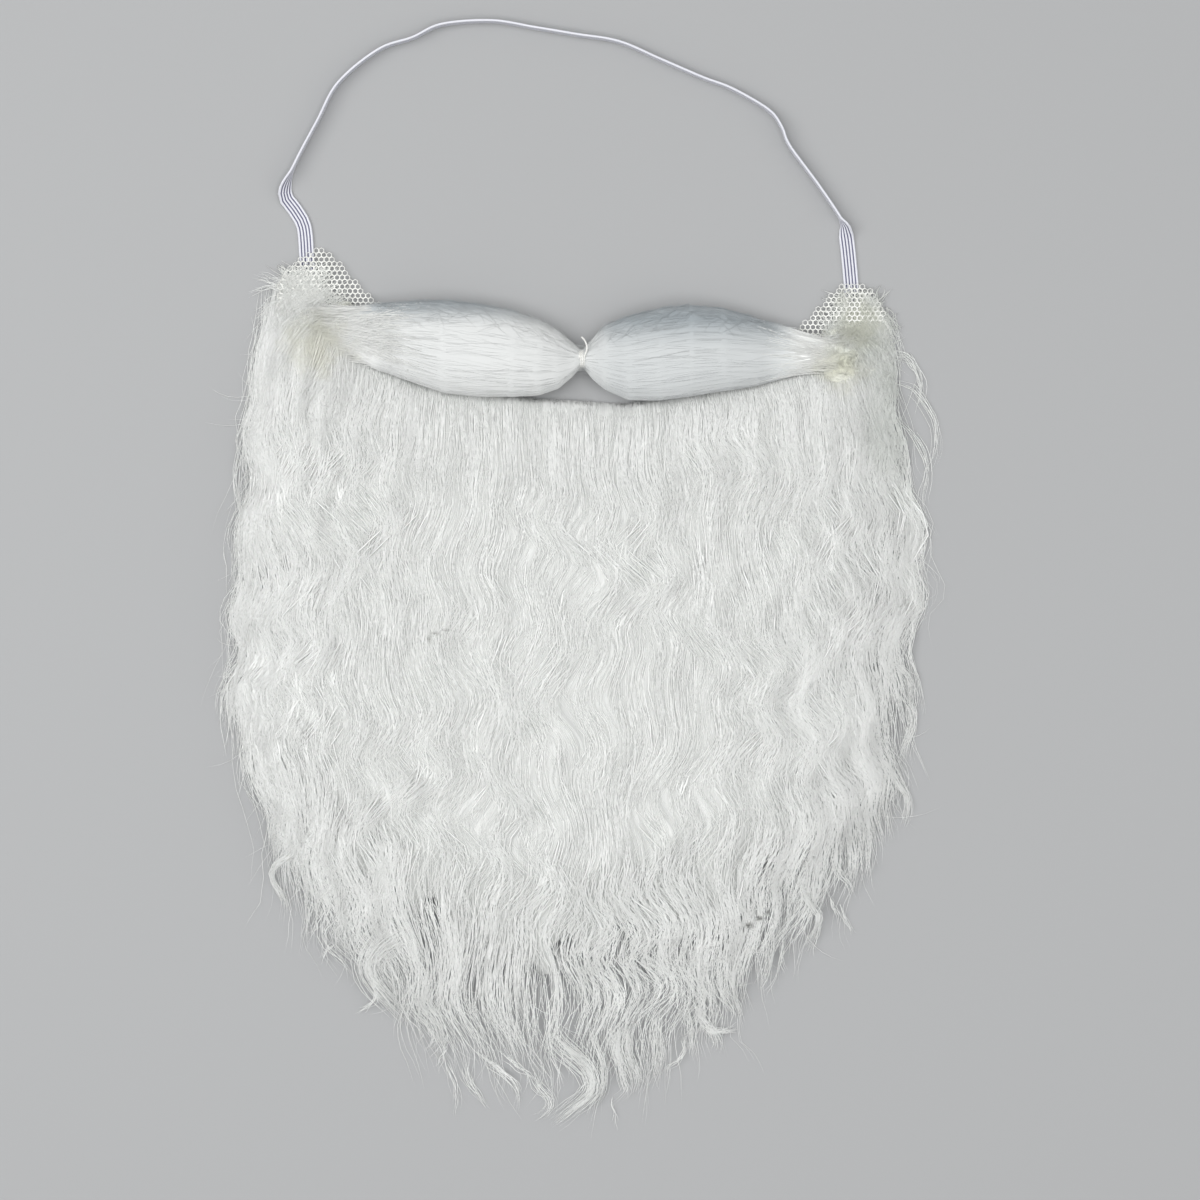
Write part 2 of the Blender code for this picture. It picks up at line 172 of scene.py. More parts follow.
def loft(bm, sections):
    """Extrude the first ring of edges through the other sections and close both ends."""
    ring = [bm.verts.new(point) for point in sections[0]]
    edges = [bm.edges.new(pair) for pair in zip(ring, [*ring[1:], ring[0]])]
    bm.faces.new(ring)
    for section in sections[1:]:
        made = bmesh.ops.extrude_edge_only(bm, edges=edges)["geom"]
        edges = [item for item in made if isinstance(item, bmesh.types.BMEdge)]
        fresh = [item for item in made if isinstance(item, bmesh.types.BMVert)]
        edges = [edge for edge in edges if all(vertex in fresh for vertex in edge.verts)]
        ring = in_step(ring, fresh)
        for vertex, point in zip(ring, section):
            vertex.co = point
    bm.faces.new(ring)
    bmesh.ops.recalc_face_normals(bm, faces=bm.faces)


def in_step(ring, fresh):
    """The extruded copy of each vertex of a ring, in the ring's order."""
    return [next(edge.other_vert(v) for edge in v.link_edges if edge.other_vert(v) in fresh) for v in ring]


def strap_turn(from_left, from_right):
    left = min(1, max(0, (from_left - LEFT_FLAT_RUN) / LEFT_TWIST_RUN))
    right = min(1, max(0, (from_right - RIGHT_FLAT_RUN) / RIGHT_TWIST_RUN))
    share = min(left, right)
    return math.pi / 2 * share * share * (3 - 2 * share)


def strap_profile():
    """The band's outline across its width: a round swelling over each core, on both faces."""
    face = []
    for core in range(STRAP_CORES):
        middle = (core - (STRAP_CORES - 1) / 2) * CORE_PITCH
        for turn in (-0.42, -0.2, 0.2, 0.42):
            depth = CORE_WAIST + (CORE_HALF_DEPTH - CORE_WAIST) * math.cos(turn * math.pi)
            face.append((middle + turn * CORE_PITCH, depth))
    return [*face, *((across, -depth) for across, depth in reversed(face))]


strap_line = smooth_route([Vector(point) for point in STRAP_ROUTE], STRAP_STEP)
strap_reach = np.cumsum([0] + [(end - start).length for start, end in zip(strap_line, strap_line[1:])])
strap_sections = []
for index, place in enumerate(strap_line):
    heading = strap_line[min(index + 1, len(strap_line) - 1)] - strap_line[max(index - 1, 0)]
    turn = strap_turn(strap_reach[index], strap_reach[-1] - strap_reach[index])
    side = Vector((-heading.y, heading.x, 0)).normalized()
    width_way = side * math.cos(turn) + Vector((0, 0, math.sin(turn)))
    depth_way = Vector((0, 0, math.cos(turn))) - side * math.sin(turn)
    ring = [width_way * across + depth_way * depth for across, depth in strap_profile()]
    lowest = min(point.z for point in ring)
    strap_sections.append([(point + Vector((*place, -lowest))) * MM for point in ring])


def wire(tree, kind, inputs=None, **settings):
    """A shader node; inputs maps each socket's name or number to a value or to another node's output."""
    made = tree.nodes.new(kind)
    for name, value in settings.items():
        setattr(made, name, value)
    for socket, value in (inputs or {}).items():
        if isinstance(value, bpy.types.NodeSocket):
            tree.links.new(value, made.inputs[socket])
        else:
            made.inputs[socket].default_value = value
    return made


def math_node(tree, operation, *values):
    return wire(tree, "ShaderNodeMath", dict(enumerate(values)), operation=operation).outputs[0]


def vector_node(tree, operation, *values):
    return wire(tree, "ShaderNodeVectorMath", dict(enumerate(values)), operation=operation).outputs


def ranged(tree, value, low, high, to_low=0.0, to_high=1.0, way="LINEAR"):
    """The value taken from low..high to to_low..to_high."""
    spans = {"Value": value, "From Min": low, "From Max": high, "To Min": to_low, "To Max": to_high}
    return wire(tree, "ShaderNodeMapRange", spans, interpolation_type=way).outputs[0]


def mixed(tree, share, first, second, way="MIX"):
    """A colour that goes from first to second."""
    colours = {0: share, "A": first, "B": second}
    return wire(tree, "ShaderNodeMix", colours, data_type="RGBA", blend_type=way).outputs[2]


def paint(tree, shader, share, first, second):
    tree.links.new(mixed(tree, share, first, second), shader.inputs["Base Color"])


def noise(tree, place, scale, detail, roughness=0.5):
    inputs = {"Vector": place, "Scale": scale, "Detail": detail, "Roughness": roughness}
    return wire(tree, "ShaderNodeTexNoise", inputs).outputs["Fac"]


def roughen(tree, shader, height, strength, distance):
    bump = wire(tree, "ShaderNodeBump", {"Height": height, "Strength": strength, "Distance": distance})
    tree.links.new(bump.outputs[0], shader.inputs["Normal"])


def wrap_uv(bm, name, sides, lengthwise):
    """A UV map on a lofted tube: once across for a turn round it, and lengthwise(row) along it."""
    layer = bm.loops.layers.uv.new(name)
    bm.verts.index_update()
    for face in bm.faces:
        if len(face.verts) != 4:
            continue
        places = [divmod(corner.vert.index, sides) for corner in face.loops]
        wraps = max(column for _, column in places) - min(column for _, column in places) > 1
        for corner, (row, column) in zip(face.loops, places):
            column += sides * (wraps and column == 0)
            corner[layer].uv = (column / sides, lengthwise(row))


strap_look, strap_tree, strap_shader = new_material("braided_elastic", Roughness=0.55, Sheen_Weight=0.2)
strap_bm = bmesh.new()
loft(strap_bm, strap_sections)
profile_count = len(strap_sections[0])
wrap_uv(strap_bm, "braid", profile_count, lambda row: strap_reach[row] / STRAP_CORES)
strap_map = wire(strap_tree, "ShaderNodeUVMap", uv_map="braid").outputs["UV"]
strap_around = wire(strap_tree, "ShaderNodeSeparateXYZ", {0: strap_map}).outputs["X"]
core_phase = math_node(strap_tree, "MULTIPLY_ADD", strap_around, 4 * STRAP_CORES, 0.25)
core_mask = ranged(strap_tree, math_node(strap_tree, "PINGPONG", core_phase, 1.0), *CORE_SPAN)
from_corner = math_node(strap_tree, "ADD", strap_around, 0.5 / profile_count)
from_edge = math_node(strap_tree, "PINGPONG", from_corner, 0.25)
edge_mask = ranged(strap_tree, from_edge, 0.02, 0.05, 1.0, 0.0)
light_mask = math_node(strap_tree, "MAXIMUM", core_mask, edge_mask)
# Painted shade: the grooves between the cores get the near-black colour, the crests and edges the yarn's.
paint(strap_tree, strap_shader, light_mask, ELASTIC_GAP_SHADE, ELASTIC_LIGHT)
strap_yarn = wire(strap_tree, "ShaderNodeTexWave", {"Vector": strap_map, "Scale": 6.0, "Distortion": 1.5})
roughen(strap_tree, strap_shader, strap_yarn.outputs["Fac"], 0.3, 0.0002)
strap = from_bmesh("head_elastic", strap_bm, strap_look)
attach(strap, "root")
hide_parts("elastic_strap")


# The net backing. White knitted net in staggered six-sided cells; bare at the ear tabs, where the cells show
# and the edge is cut through them, and a plain knitted ground under the hair, cut in one piece with the tabs.
NET_BARE_FROM, NET_BARE_SLANT = 93 * MM, 0.05
NET_CELL_PITCH = 2.0 * MM
NET_THREAD = 0.42 * MM
NET_DEPTH = 0.5 * MM
NET_GROUND_DEPTH = 0.9 * MM
NET_EDGE_SLACK = 0.9 * MM
NET_THREAD_COLOUR = (0.84, 0.845, 0.81, 1)
NET_HOLE_COLOUR = (0.55, 0.56, 0.54, 1)
TWIST_SHADE, TWIST_LIGHT = (0.72, 0.725, 0.69, 1), (0.92, 0.925, 0.89, 1)


def surface_tree(*nodes):
    """A tree for finding places on the surface of CAD nodes."""
    shape = bmesh.new()
    for node in nodes:
        shape.from_mesh(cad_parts[node].data)
    tree = BVHTree.FromBMesh(shape)
    shape.free()
    return tree


def net_cell_faces(bm, tree):
    """Six-sided faces all over the tabs, each with its own corners, on the net's upper side."""
    row_pitch = NET_CELL_PITCH * math.sqrt(3) / 2
    radius = NET_CELL_PITCH / math.sqrt(3)
    low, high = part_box("net_backing")
    lowest = NET_BARE_FROM - NET_BARE_SLANT * high[0]
    for row in range(int((high[1] - lowest) / row_pitch) + 2):
        y = lowest + row * row_pitch
        for column in range(int((high[0] - low[0]) / NET_CELL_PITCH) + 2):
            x = low[0] + (column + (row % 2) / 2) * NET_CELL_PITCH
            spot = tree.find_nearest((x, y, 0.002))[0]
            past_edge = (spot.xy - Vector((x, y))).length > NET_EDGE_SLACK
            if past_edge or y + NET_BARE_SLANT * x < NET_BARE_FROM - NET_CELL_PITCH:
                continue
            turns = [math.pi * (side / 3 + 1 / 6) for side in range(6)]
            corners = [(x + radius * math.cos(t), y + radius * math.sin(t), spot.z) for t in turns]
            bm.faces.new([bm.verts.new(corner) for corner in corners])


net_bm = bmesh.new()
net_cell_faces(net_bm, surface_tree("net_backing"))
bmesh.ops.remove_doubles(net_bm, verts=net_bm.verts, dist=0.3 * MM)
cells = net_bm.faces[:]
bmesh.ops.inset_individual(net_bm, faces=cells, thickness=NET_THREAD / 2, use_even_offset=True)
bmesh.ops.delete(net_bm, geom=cells, context="FACES")
bmesh.ops.recalc_face_normals(net_bm, faces=net_bm.faces)
thread_look, thread_tree, thread_shader = new_material("net_thread", Roughness=0.8, Sheen_Weight=0.15)
thread_spot = wire(thread_tree, "ShaderNodeTexCoord").outputs["Object"]
paint(thread_tree, thread_shader, noise(thread_tree, thread_spot, 2500.0, 2.0), TWIST_SHADE, TWIST_LIGHT)
net_tabs = from_bmesh("net_tabs", net_bm, thread_look)
wall = net_tabs.modifiers.new("thread_depth", "SOLIDIFY")
wall.thickness = NET_DEPTH
wall.offset = -1

ground_bm = bmesh.new()
ground_bm.from_mesh(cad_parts["net_backing"].data)
bmesh.ops.remove_doubles(ground_bm, verts=ground_bm.verts, dist=0.01 * MM)
upper = [face for face in ground_bm.faces if face.normal.z > -0.5]
bmesh.ops.delete(ground_bm, geom=upper, context="FACES")
bmesh.ops.bisect_plane(
    ground_bm,
    geom=[*ground_bm.verts, *ground_bm.edges, *ground_bm.faces],
    plane_co=(0, NET_BARE_FROM, 0),
    plane_no=(NET_BARE_SLANT, 1, 0),
    clear_outer=True,
)
raised = bmesh.ops.extrude_face_region(ground_bm, geom=ground_bm.faces[:])["geom"]
raised_points = [item for item in raised if isinstance(item, bmesh.types.BMVert)]
bmesh.ops.translate(ground_bm, verts=raised_points, vec=(0, 0, NET_GROUND_DEPTH))
bmesh.ops.recalc_face_normals(ground_bm, faces=ground_bm.faces)
knit_look, knit_tree, knit_shader = new_material("knitted_net", Roughness=0.85, Sheen_Weight=0.15)
knit_spot = wire(knit_tree, "ShaderNodeTexCoord").outputs["Object"]
knit_waves = []
for turn in (0, 1, 2):
    angle = turn * math.pi / 3 + math.pi / 6
    way = (math.cos(angle), math.sin(angle), 0)
    along = vector_node(knit_tree, "DOT_PRODUCT", knit_spot, way)["Value"]
    turned = math_node(knit_tree, "MULTIPLY", along, 4 * math.pi / math.sqrt(3) / NET_CELL_PITCH)
    knit_waves.append(math_node(knit_tree, "COSINE", turned))
knit_pair = math_node(knit_tree, "ADD", knit_waves[0], knit_waves[1])
knit_sum = math_node(knit_tree, "ADD", knit_pair, knit_waves[2])
knit_hole = ranged(knit_tree, knit_sum, 0.2, 1.4)
paint(knit_tree, knit_shader, knit_hole, NET_THREAD_COLOUR, NET_HOLE_COLOUR)
roughen(knit_tree, knit_shader, knit_sum, 0.6, -0.0002)
net_ground = from_bmesh("net_ground", ground_bm, knit_look)
net_ground.data.set_sharp_from_angle(angle=math.radians(40))
for piece in (net_tabs, net_ground):
    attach(piece, "root")
    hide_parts("net_backing")


# The beard's hair. White synthetic fibre in overlapping rows, sewn to the net and crimped into long waves;
# it is straight near the roots, and its tips fan out past the net and curl on the table.
# Columns: share of the way across, root x and y, middle x and y, tip x and y of a hair there.
HAIR_FLOW = np.array([
    (0.00, -117.5, 101.5, -127.5, 22.0, -128.5, -58.0),
    (0.08, -112.0, 104.0, -118.5, 2.0, -117.5, -104.0),
    (0.16, -102.0, 101.5, -108.5, -17.0, -110.0, -129.0),
    (0.26, -84.5, 87.0, -88.5, -40.0, -80.0, -165.0),
    (0.36, -56.0, 74.0, -60.5, -55.5, -48.0, -184.0),
    (0.48, -17.0, 68.3, -15.5, -67.0, -11.5, -200.0),
    (0.58, 20.5, 66.2, 22.0, -63.0, 25.0, -191.0),
    (0.68, 50.0, 72.0, 58.0, -51.5, 58.0, -175.0),
    (0.78, 77.0, 80.5, 86.5, -40.0, 83.0, -150.0),
    (0.87, 96.5, 88.5, 101.5, -24.5, 106.5, -122.0),
    (0.94, 110.0, 93.0, 114.5, -9.0, 120.5, -92.0),
    (1.00, 120.0, 94.5, 126.5, 14.0, 128.5, -50.0),
])
CRIMP_LENGTH = 33.0
CRIMP_HEIGHT = 4.4
CRIMP_START = 24.0
CRIMP_GROWTH = 28.0
HEIGHT_STEP = 2.0
LOWEST_HAIR = 0.35
WHITE_FIBRE = (0.945, 0.955, 0.94, 1)
FIBRE_SHADE = (0.86, 0.875, 0.855, 1)
FIBRE_CREAM = (0.88, 0.87, 0.77, 1)
FIBRE_RIGHT_SHADE = (0.74, 0.765, 0.735, 1)
PARTED_SHADE = (0.12, 0.12, 0.10, 1)
THIN_SHADE = (0.46, 0.51, 0.55, 1)
RIBBON_SHADE = (0.74, 0.75, 0.735, 1)
# The under-hair's colours are darker than the fibre's: painted shade for the deep layer beneath the hairs.
UNDER_LIGHT, UNDER_SHADE = (0.70, 0.71, 0.695, 1), (0.48, 0.49, 0.48, 1)
MATTED_LIGHT, MATTED_SHADE = (0.88, 0.89, 0.83, 1), (0.48, 0.49, 0.43, 1)
FLUFF_LIGHT, FLUFF_SHADE = (0.92, 0.93, 0.90, 1), (0.66, 0.68, 0.65, 1)
STRIPS = 64


def flow_columns(across):
    return [np.interp(across, HAIR_FLOW[:, 0], HAIR_FLOW[:, column]) for column in range(1, 7)]


def flow_place(across, along):
    """Plan places, in mm, on the beard's flow lines; along runs from 0 at the root to 1 at the tip."""
    root_x, root_y, mid_x, mid_y, tip_x, tip_y = flow_columns(across)
    first, second, third = 2 * (along - 0.5) * (along - 1), 4 * along * (1 - along), 2 * along * (along - 0.5)
    return root_x * first + mid_x * second + tip_x * third, root_y * first + mid_y * second + tip_y * third


def flow_length(across):
    root_x, root_y, mid_x, mid_y, tip_x, tip_y = flow_columns(across)
    return np.hypot(mid_x - root_x, mid_y - root_y) + np.hypot(tip_x - mid_x, tip_y - mid_y)


def crimp(across, x, y, distance):
    """The crimp's sideways swing in mm and its phase: patches of hair about 30 mm wide swing together."""
    shift = 7 * np.sin(0.031 * x + 0.9) + 5 * np.sin(0.052 * y + 0.04 * x) + 3 * np.sin(0.11 * x - 0.05 * y)
    phase = (
        2 * np.pi * (y + shift) / CRIMP_LENGTH
        + 1.3 * np.sin(10.5 * across + 0.4)
        + 0.8 * np.sin(25 * across + 1)
    )
    patch = 0.78 + 0.3 * np.sin(0.055 * x - 0.035 * y + 1.3) + 0.3 * np.sin(0.083 * y + 0.07 * x)
    inside = 0.6 + 0.4 * np.clip(np.minimum(across, 1 - across) / 0.1, 0, 1)
    start = CRIMP_START * np.clip(1 - ((across - 0.47) / 0.26) ** 2, -0.1, 1)
    return CRIMP_HEIGHT * patch * inside * np.clip((distance - start) / CRIMP_GROWTH, 0.02, 1), phase


def drift(x, y, distance):
    """The slow sideways lean, in mm, of whole patches of hair."""
    lean = 3.2 * np.sin(0.043 * y + 0.052 * x + 0.7) + 2.2 * np.sin(0.075 * y - 0.061 * x + 2.1)
    return lean * np.clip((distance - 10) / 60, 0, 1)


def height_map(*nodes):
    """The nodes' upper surface on a square grid in mm, smoothed, as (heights, lowest x, lowest y)."""
    tree = surface_tree(*nodes)
    low, high = (np.array(corner) / MM for corner in cad_box)
    low, high = low - 20, high + 20
    columns = np.arange(low[0], high[0], HEIGHT_STEP)
    rows = np.arange(low[1], high[1], HEIGHT_STEP)
    heights = np.zeros((len(rows), len(columns)))
    for row, y in enumerate(rows):
        for column, x in enumerate(columns):
            hit = tree.ray_cast((x * MM, y * MM, 0.1), (0, 0, -1))[0]
            heights[row, column] = hit.z / MM if hit else 0
    for _ in range(3):
        padded = np.pad(heights, 1, mode="edge")
        heights = (padded[:-2, 1:-1] + padded[2:, 1:-1] + padded[1:-1, :-2] + padded[1:-1, 2:]) / 8
        heights += padded[1:-1, 1:-1] / 2
    return heights, low[0], low[1]


def height_at(surface, x, y):
    heights, low_x, low_y = surface
    column = np.clip((x - low_x) / HEIGHT_STEP, 0, heights.shape[1] - 1.001)
    row = np.clip((y - low_y) / HEIGHT_STEP, 0, heights.shape[0] - 1.001)
    left, below = column.astype(int), row.astype(int)
    right_share, up_share = column - left, row - below
    lower = heights[below, left] * (1 - right_share) + heights[below, left + 1] * right_share
    upper = heights[below + 1, left] * (1 - right_share) + heights[below + 1, left + 1] * right_share
    return lower * (1 - up_share) + upper * up_share


def fibre_mesh(name, paths, half_width, strip, look, flatness=0.08):
    """Closed three-sided fibres, tapering to a point, as one mesh; paths holds fibres x rings x 3, in mm."""
    count, rings, _ = paths.shape
    heading = np.gradient(paths, axis=1)
    heading /= np.linalg.norm(heading, axis=2, keepdims=True) + 1e-9
    side = np.cross(heading, (0, 0, 1.0))
    side /= np.linalg.norm(side, axis=2, keepdims=True) + 1e-9
    up = np.cross(side, heading)
    wide = half_width[..., None]
    low = paths - up * wide * flatness / 2
    corners = np.stack([low - side * wide, paths + up * wide * flatness, low + side * wide], axis=2)
    tips = paths[:, -1:] + (paths[:, -1:] - paths[:, -2:-1]) * 0.4
    tips[..., 2] = np.maximum(tips[..., 2], LOWEST_HAIR / 2)
    points = np.concatenate([corners.reshape(count, rings * 3, 3), tips], axis=1) * MM
    quads = [
        (ring * 3 + k, ring * 3 + (k + 1) % 3, ring * 3 + 3 + (k + 1) % 3, ring * 3 + 3 + k)
        for ring in range(rings - 1)
        for k in range(3)
    ]
    last = rings * 3 - 3
    ends = [(0, 2, 1), *((last + k, last + (k + 1) % 3, last + 3) for k in range(3))]
    one = np.array([corner for face in [*quads, *ends] for corner in face])
    corner_of = (one[None] + (np.arange(count) * (rings * 3 + 1))[:, None]).ravel()
    sizes = np.tile([4] * len(quads) + [3] * len(ends), count)
    underside = [k == 2 for _ in range(rings - 1) for k in range(3)] + [True, False, False, True]
    mesh = bpy.data.meshes.new(name)
    mesh.vertices.add(points.shape[0] * points.shape[1])
    mesh.vertices.foreach_set("co", points.astype(np.float32).ravel())
    mesh.loops.add(len(corner_of))
    mesh.loops.foreach_set("vertex_index", corner_of.astype(np.int32))
    mesh.polygons.add(len(sizes))
    mesh.polygons.foreach_set("loop_start", np.concatenate([[0], np.cumsum(sizes)[:-1]]).astype(np.int32))
    mesh.polygons.foreach_set("use_smooth", ~np.tile(underside, count))
    across = np.concatenate([np.tile([0.08, 0.5, 0.92], rings), [0.5]])
    along = np.concatenate([np.repeat(np.linspace(0, 0.95, rings), 3), [1.0]])
    u = (strip[:, None] + across[None]) / STRIPS
    spots = np.stack([u, np.broadcast_to(along, u.shape)], axis=2).reshape(-1, 2)
    mesh.uv_layers.new(name="OFBake")
    mesh.uv_layers["OFBake"].data.foreach_set("uv", spots[corner_of].astype(np.float32).ravel())
    mesh.update(calc_edges=True)
    return new_piece(name, mesh, look)


def new_group(name, start, *ends):
    """An empty node group with one vector input; gives the group, its input and its output node."""
    group = bpy.data.node_groups.new(name, "ShaderNodeTree")
    group.interface.new_socket(start, in_out="INPUT", socket_type="NodeSocketVector")
    for end in ends:
        group.interface.new_socket(end, in_out="OUTPUT", socket_type="NodeSocketFloat")
    return group, group.nodes.new("NodeGroupInput").outputs[start], group.nodes.new("NodeGroupOutput")


def streak_group():
    """Node group: fine lengthwise streaks over fibre coordinates, as a tone and a height."""
    group, fibre, end = new_group("fibre_streaks", "Fibre", "Tone", "Height")
    turned = wire(group, "ShaderNodeVectorRotate", {"Vector": fibre, "Angle": 0.6}, rotation_type="Z_AXIS")
    start = turned.outputs[0]
    fine = noise(group, start, 1.0, 3.0, roughness=0.7)
    broad = noise(group, vector_node(group, "MULTIPLY", start, (0.3, 0.3, 1.0))[0], 1.0, 1.0)
    blend = math_node(group, "ADD", fine, broad)
    group.links.new(ranged(group, blend, 0.72, 1.18), end.inputs["Tone"])
    group.links.new(fine, end.inputs["Height"])
    return group


def reach_of_spots(group, place, spots):
    """How far a place is from the nearest spot, where 1 is the spot's own edge."""
    nearest = None
    for spot, stretch in spots:
        away = vector_node(group, "SUBTRACT", place, spot)[0]
        reach = vector_node(group, "LENGTH", vector_node(group, "MULTIPLY", away, stretch)[0])["Value"]
        nearest = math_node(group, "MINIMUM", nearest, reach) if nearest else reach
    return nearest


def marks_group():
    """Node group: the hair's yellowing, and painted shade by the right tab, in a parting and in a crease."""
    group, place, end = new_group("hair_marks", "Place", *HAIR_MARKS)
    for name, (spots, grain, most, _) in HAIR_MARKS.items():
        patchy = noise(group, place, grain, 2.0)
        blurred = math_node(group, "ADD", reach_of_spots(group, place, spots), patchy)
        amount = ranged(group, blurred, 0.6, 1.5, most, 0.0, way="SMOOTHSTEP")
        group.links.new(amount, end.inputs[name])
    return group


# Columns: centre in metres, and one over the half width in x, y and z.
YELLOWED_SPOTS = [
    ((-0.098, 0.089, 0.006), (55, 55, 20)),
    ((0.101, 0.081, 0.006), (65, 75, 20)),
    ((0.108, 0.097, 0.006), (80, 60, 20)),
]
# Painted shade near the right tab, over hair that is thin there.
RIGHT_SHADE_SPOTS = [
    ((0.112, 0.094, 0.004), (40, 40, 10)),
    ((0.122, 0.062, 0.004), (55, 24, 10)),
]
# Painted shadow in a small parting low on the right and in a short crease on the left.
PARTING_AND_CREASE_SPOTS = [
    ((0.0665, -0.1335, 0.006), (420, 560, 40)),
    ((0.0705, -0.1308, 0.006), (480, 620, 40)),
    ((0.0738, -0.1283, 0.006), (700, 700, 40)),
    ((-0.0550, -0.0240, 0.008), (560, 400, 40)),
    ((-0.0528, -0.0220, 0.008), (420, 640, 40)),
    ((-0.0490, -0.0206, 0.008), (330, 1000, 40)),
]
# Each mark's spots, the grain of its edge, its strength and its tint.
HAIR_MARKS = {
    "Yellowed": (YELLOWED_SPOTS, 160.0, 0.8, FIBRE_CREAM),
    # Painted shade near the right tab.
    "Right_shade": (RIGHT_SHADE_SPOTS, 90.0, 0.6, FIBRE_RIGHT_SHADE),
    # Painted shadow in the parting and the crease.
    "Parting_shade": (PARTING_AND_CREASE_SPOTS, 1400.0, 0.85, PARTED_SHADE),
}
fibre_streaks = streak_group()
hair_marks = marks_group()


def fibre_look(name, scale, light, shade, bump_height, shade_and_thinning=None):
    """Hair material: streaks over the piece's OFBake map, across in strips and along in lengths."""
    look, tree, shader = new_material(name, Roughness=0.65, Sheen_Weight=0.4, Sheen_Roughness=0.6)
    shader.inputs["Specular IOR Level"].default_value = 0.15
    spot = wire(tree, "ShaderNodeUVMap", uv_map="OFBake").outputs["UV"]
    streaks = wire(tree, "ShaderNodeGroup", node_tree=fibre_streaks)
    tree.links.new(vector_node(tree, "MULTIPLY", spot, scale)[0], streaks.inputs["Fibre"])
    colour = mixed(tree, streaks.outputs["Tone"], shade, light)
    marks = wire(tree, "ShaderNodeGroup", node_tree=hair_marks)
    place = wire(tree, "ShaderNodeTexCoord").outputs["Object"]
    tree.links.new(place, marks.inputs["Place"])
    if shade_and_thinning:
        thin = wire(tree, "ShaderNodeGroup", node_tree=shade_and_thinning)
        tree.links.new(place, thin.inputs["Place"])
        colour = mixed(tree, thin.outputs["Ends"], colour, WHITE_FIBRE)
        # Painted shade: the hank darkens to a bluish grey at its upper edge and over its right lobe, where it
        # is thin.
        colour = mixed(tree, thin.outputs["Thin_and_shade"], colour, THIN_SHADE, way="MULTIPLY")
    for mark, (_, _, _, tint) in HAIR_MARKS.items():
        colour = mixed(tree, marks.outputs[mark], colour, tint, way="MULTIPLY")
    tree.links.new(colour, shader.inputs["Base Color"])
    roughen(tree, shader, streaks.outputs["Height"], 0.5, bump_height)
    return look


hair_look = fibre_look("white_fibre", (STRIPS * 3, 3.0, 1), WHITE_FIBRE, FIBRE_SHADE, 0.0001)
ribbon_look = fibre_look("white_fibre_ribbon", (STRIPS * 5, 6.0, 1), WHITE_FIBRE, RIBBON_SHADE, 0.00008)
# Painted shade: the under-hair is coloured darker, as the hair's own shade would fall on it.
under_shaded_look = fibre_look("white_fibre_under_shaded", (900, 14.0, 1), UNDER_LIGHT, UNDER_SHADE, 0.0001)
matted_look = fibre_look("white_fibre_matted", (STRIPS * 3, 4.0, 1), MATTED_LIGHT, MATTED_SHADE, 0.0001)
fluff_look = fibre_look("white_fibre_fluff", (STRIPS * 3, 4.0, 1), FLUFF_LIGHT, FLUFF_SHADE, 0.0001)
beard_top = height_map("beard_hair", "net_backing")

UNDER_COLUMNS, UNDER_ROWS = 96, 96
UNDER_SINK, UNDER_EDGE_SINK = 0.45, 2.6
UNDER_REACH = 0.79
UNDER_HEM = 1.3

under_bm = bmesh.new()
bmesh.ops.create_grid(under_bm, x_segments=UNDER_COLUMNS, y_segments=UNDER_ROWS, size=1)
under_uv = under_bm.loops.layers.uv.new("OFBake")
for face in under_bm.faces:
    for corner in face.loops:
        corner[under_uv].uv = ((corner.vert.co.x + 1) / 2, (1 - corner.vert.co.y) / 2)
for vertex in under_bm.verts:
    across, along = 0.05 + 0.9 * (vertex.co.x + 1) / 2, (1 - vertex.co.y) / 2
    near_edge = max(0, 1 - min(8 * across, 8 - 8 * across, 6 - 6 * along))
    teeth = 0.02 * math.sin(31 * across) + 0.025 * math.sin(141 * across + 2)
    along *= UNDER_REACH + teeth * along**8
    x, y = flow_place(across, along)
    swing, phase = crimp(across, x, y, along * flow_length(across))
    x += swing * np.sin(phase) + drift(x, y, along * flow_length(across))
    sink = UNDER_SINK + UNDER_EDGE_SINK * near_edge
    z = max(UNDER_HEM + 0.3, height_at(beard_top, np.array(x), np.array(y)) - sink)
    vertex.co = (x * MM, y * MM, z * MM)
rim = [edge for edge in under_bm.edges if edge.is_boundary]
skirt = bmesh.ops.extrude_edge_only(under_bm, edges=rim)["geom"]
for vertex in (item for item in skirt if isinstance(item, bmesh.types.BMVert)):
    vertex.co.z = UNDER_HEM * MM
hem = [item for item in skirt if isinstance(item, bmesh.types.BMEdge) and item.is_boundary]
bmesh.ops.holes_fill(under_bm, edges=hem)
bmesh.ops.recalc_face_normals(under_bm, faces=under_bm.faces)
under = from_bmesh("beard_under_hair", under_bm, under_shaded_look)


def hair_draws(seed, count, rings):
    """A random source, the shape of one draw for each hair, and the share of a hair's length at each ring."""
    return np.random.default_rng(seed), (count, 1), np.linspace(0, 1, rings)[None]


def lie_on_beard(x, y, rise, chance):
    """Heights for hairs that lie on the beard and the tabs, or past them on the table."""
    lowest = LOWEST_HAIR + 0.5 * chance.random(len(x))[:, None]
    return np.maximum(height_at(beard_top, x, y) + rise, lowest)


def hair_taper(travel):
    return np.minimum(1, 0.5 + 2.5 * travel) * (1 - travel**2.2) ** 0.7 + 0.04


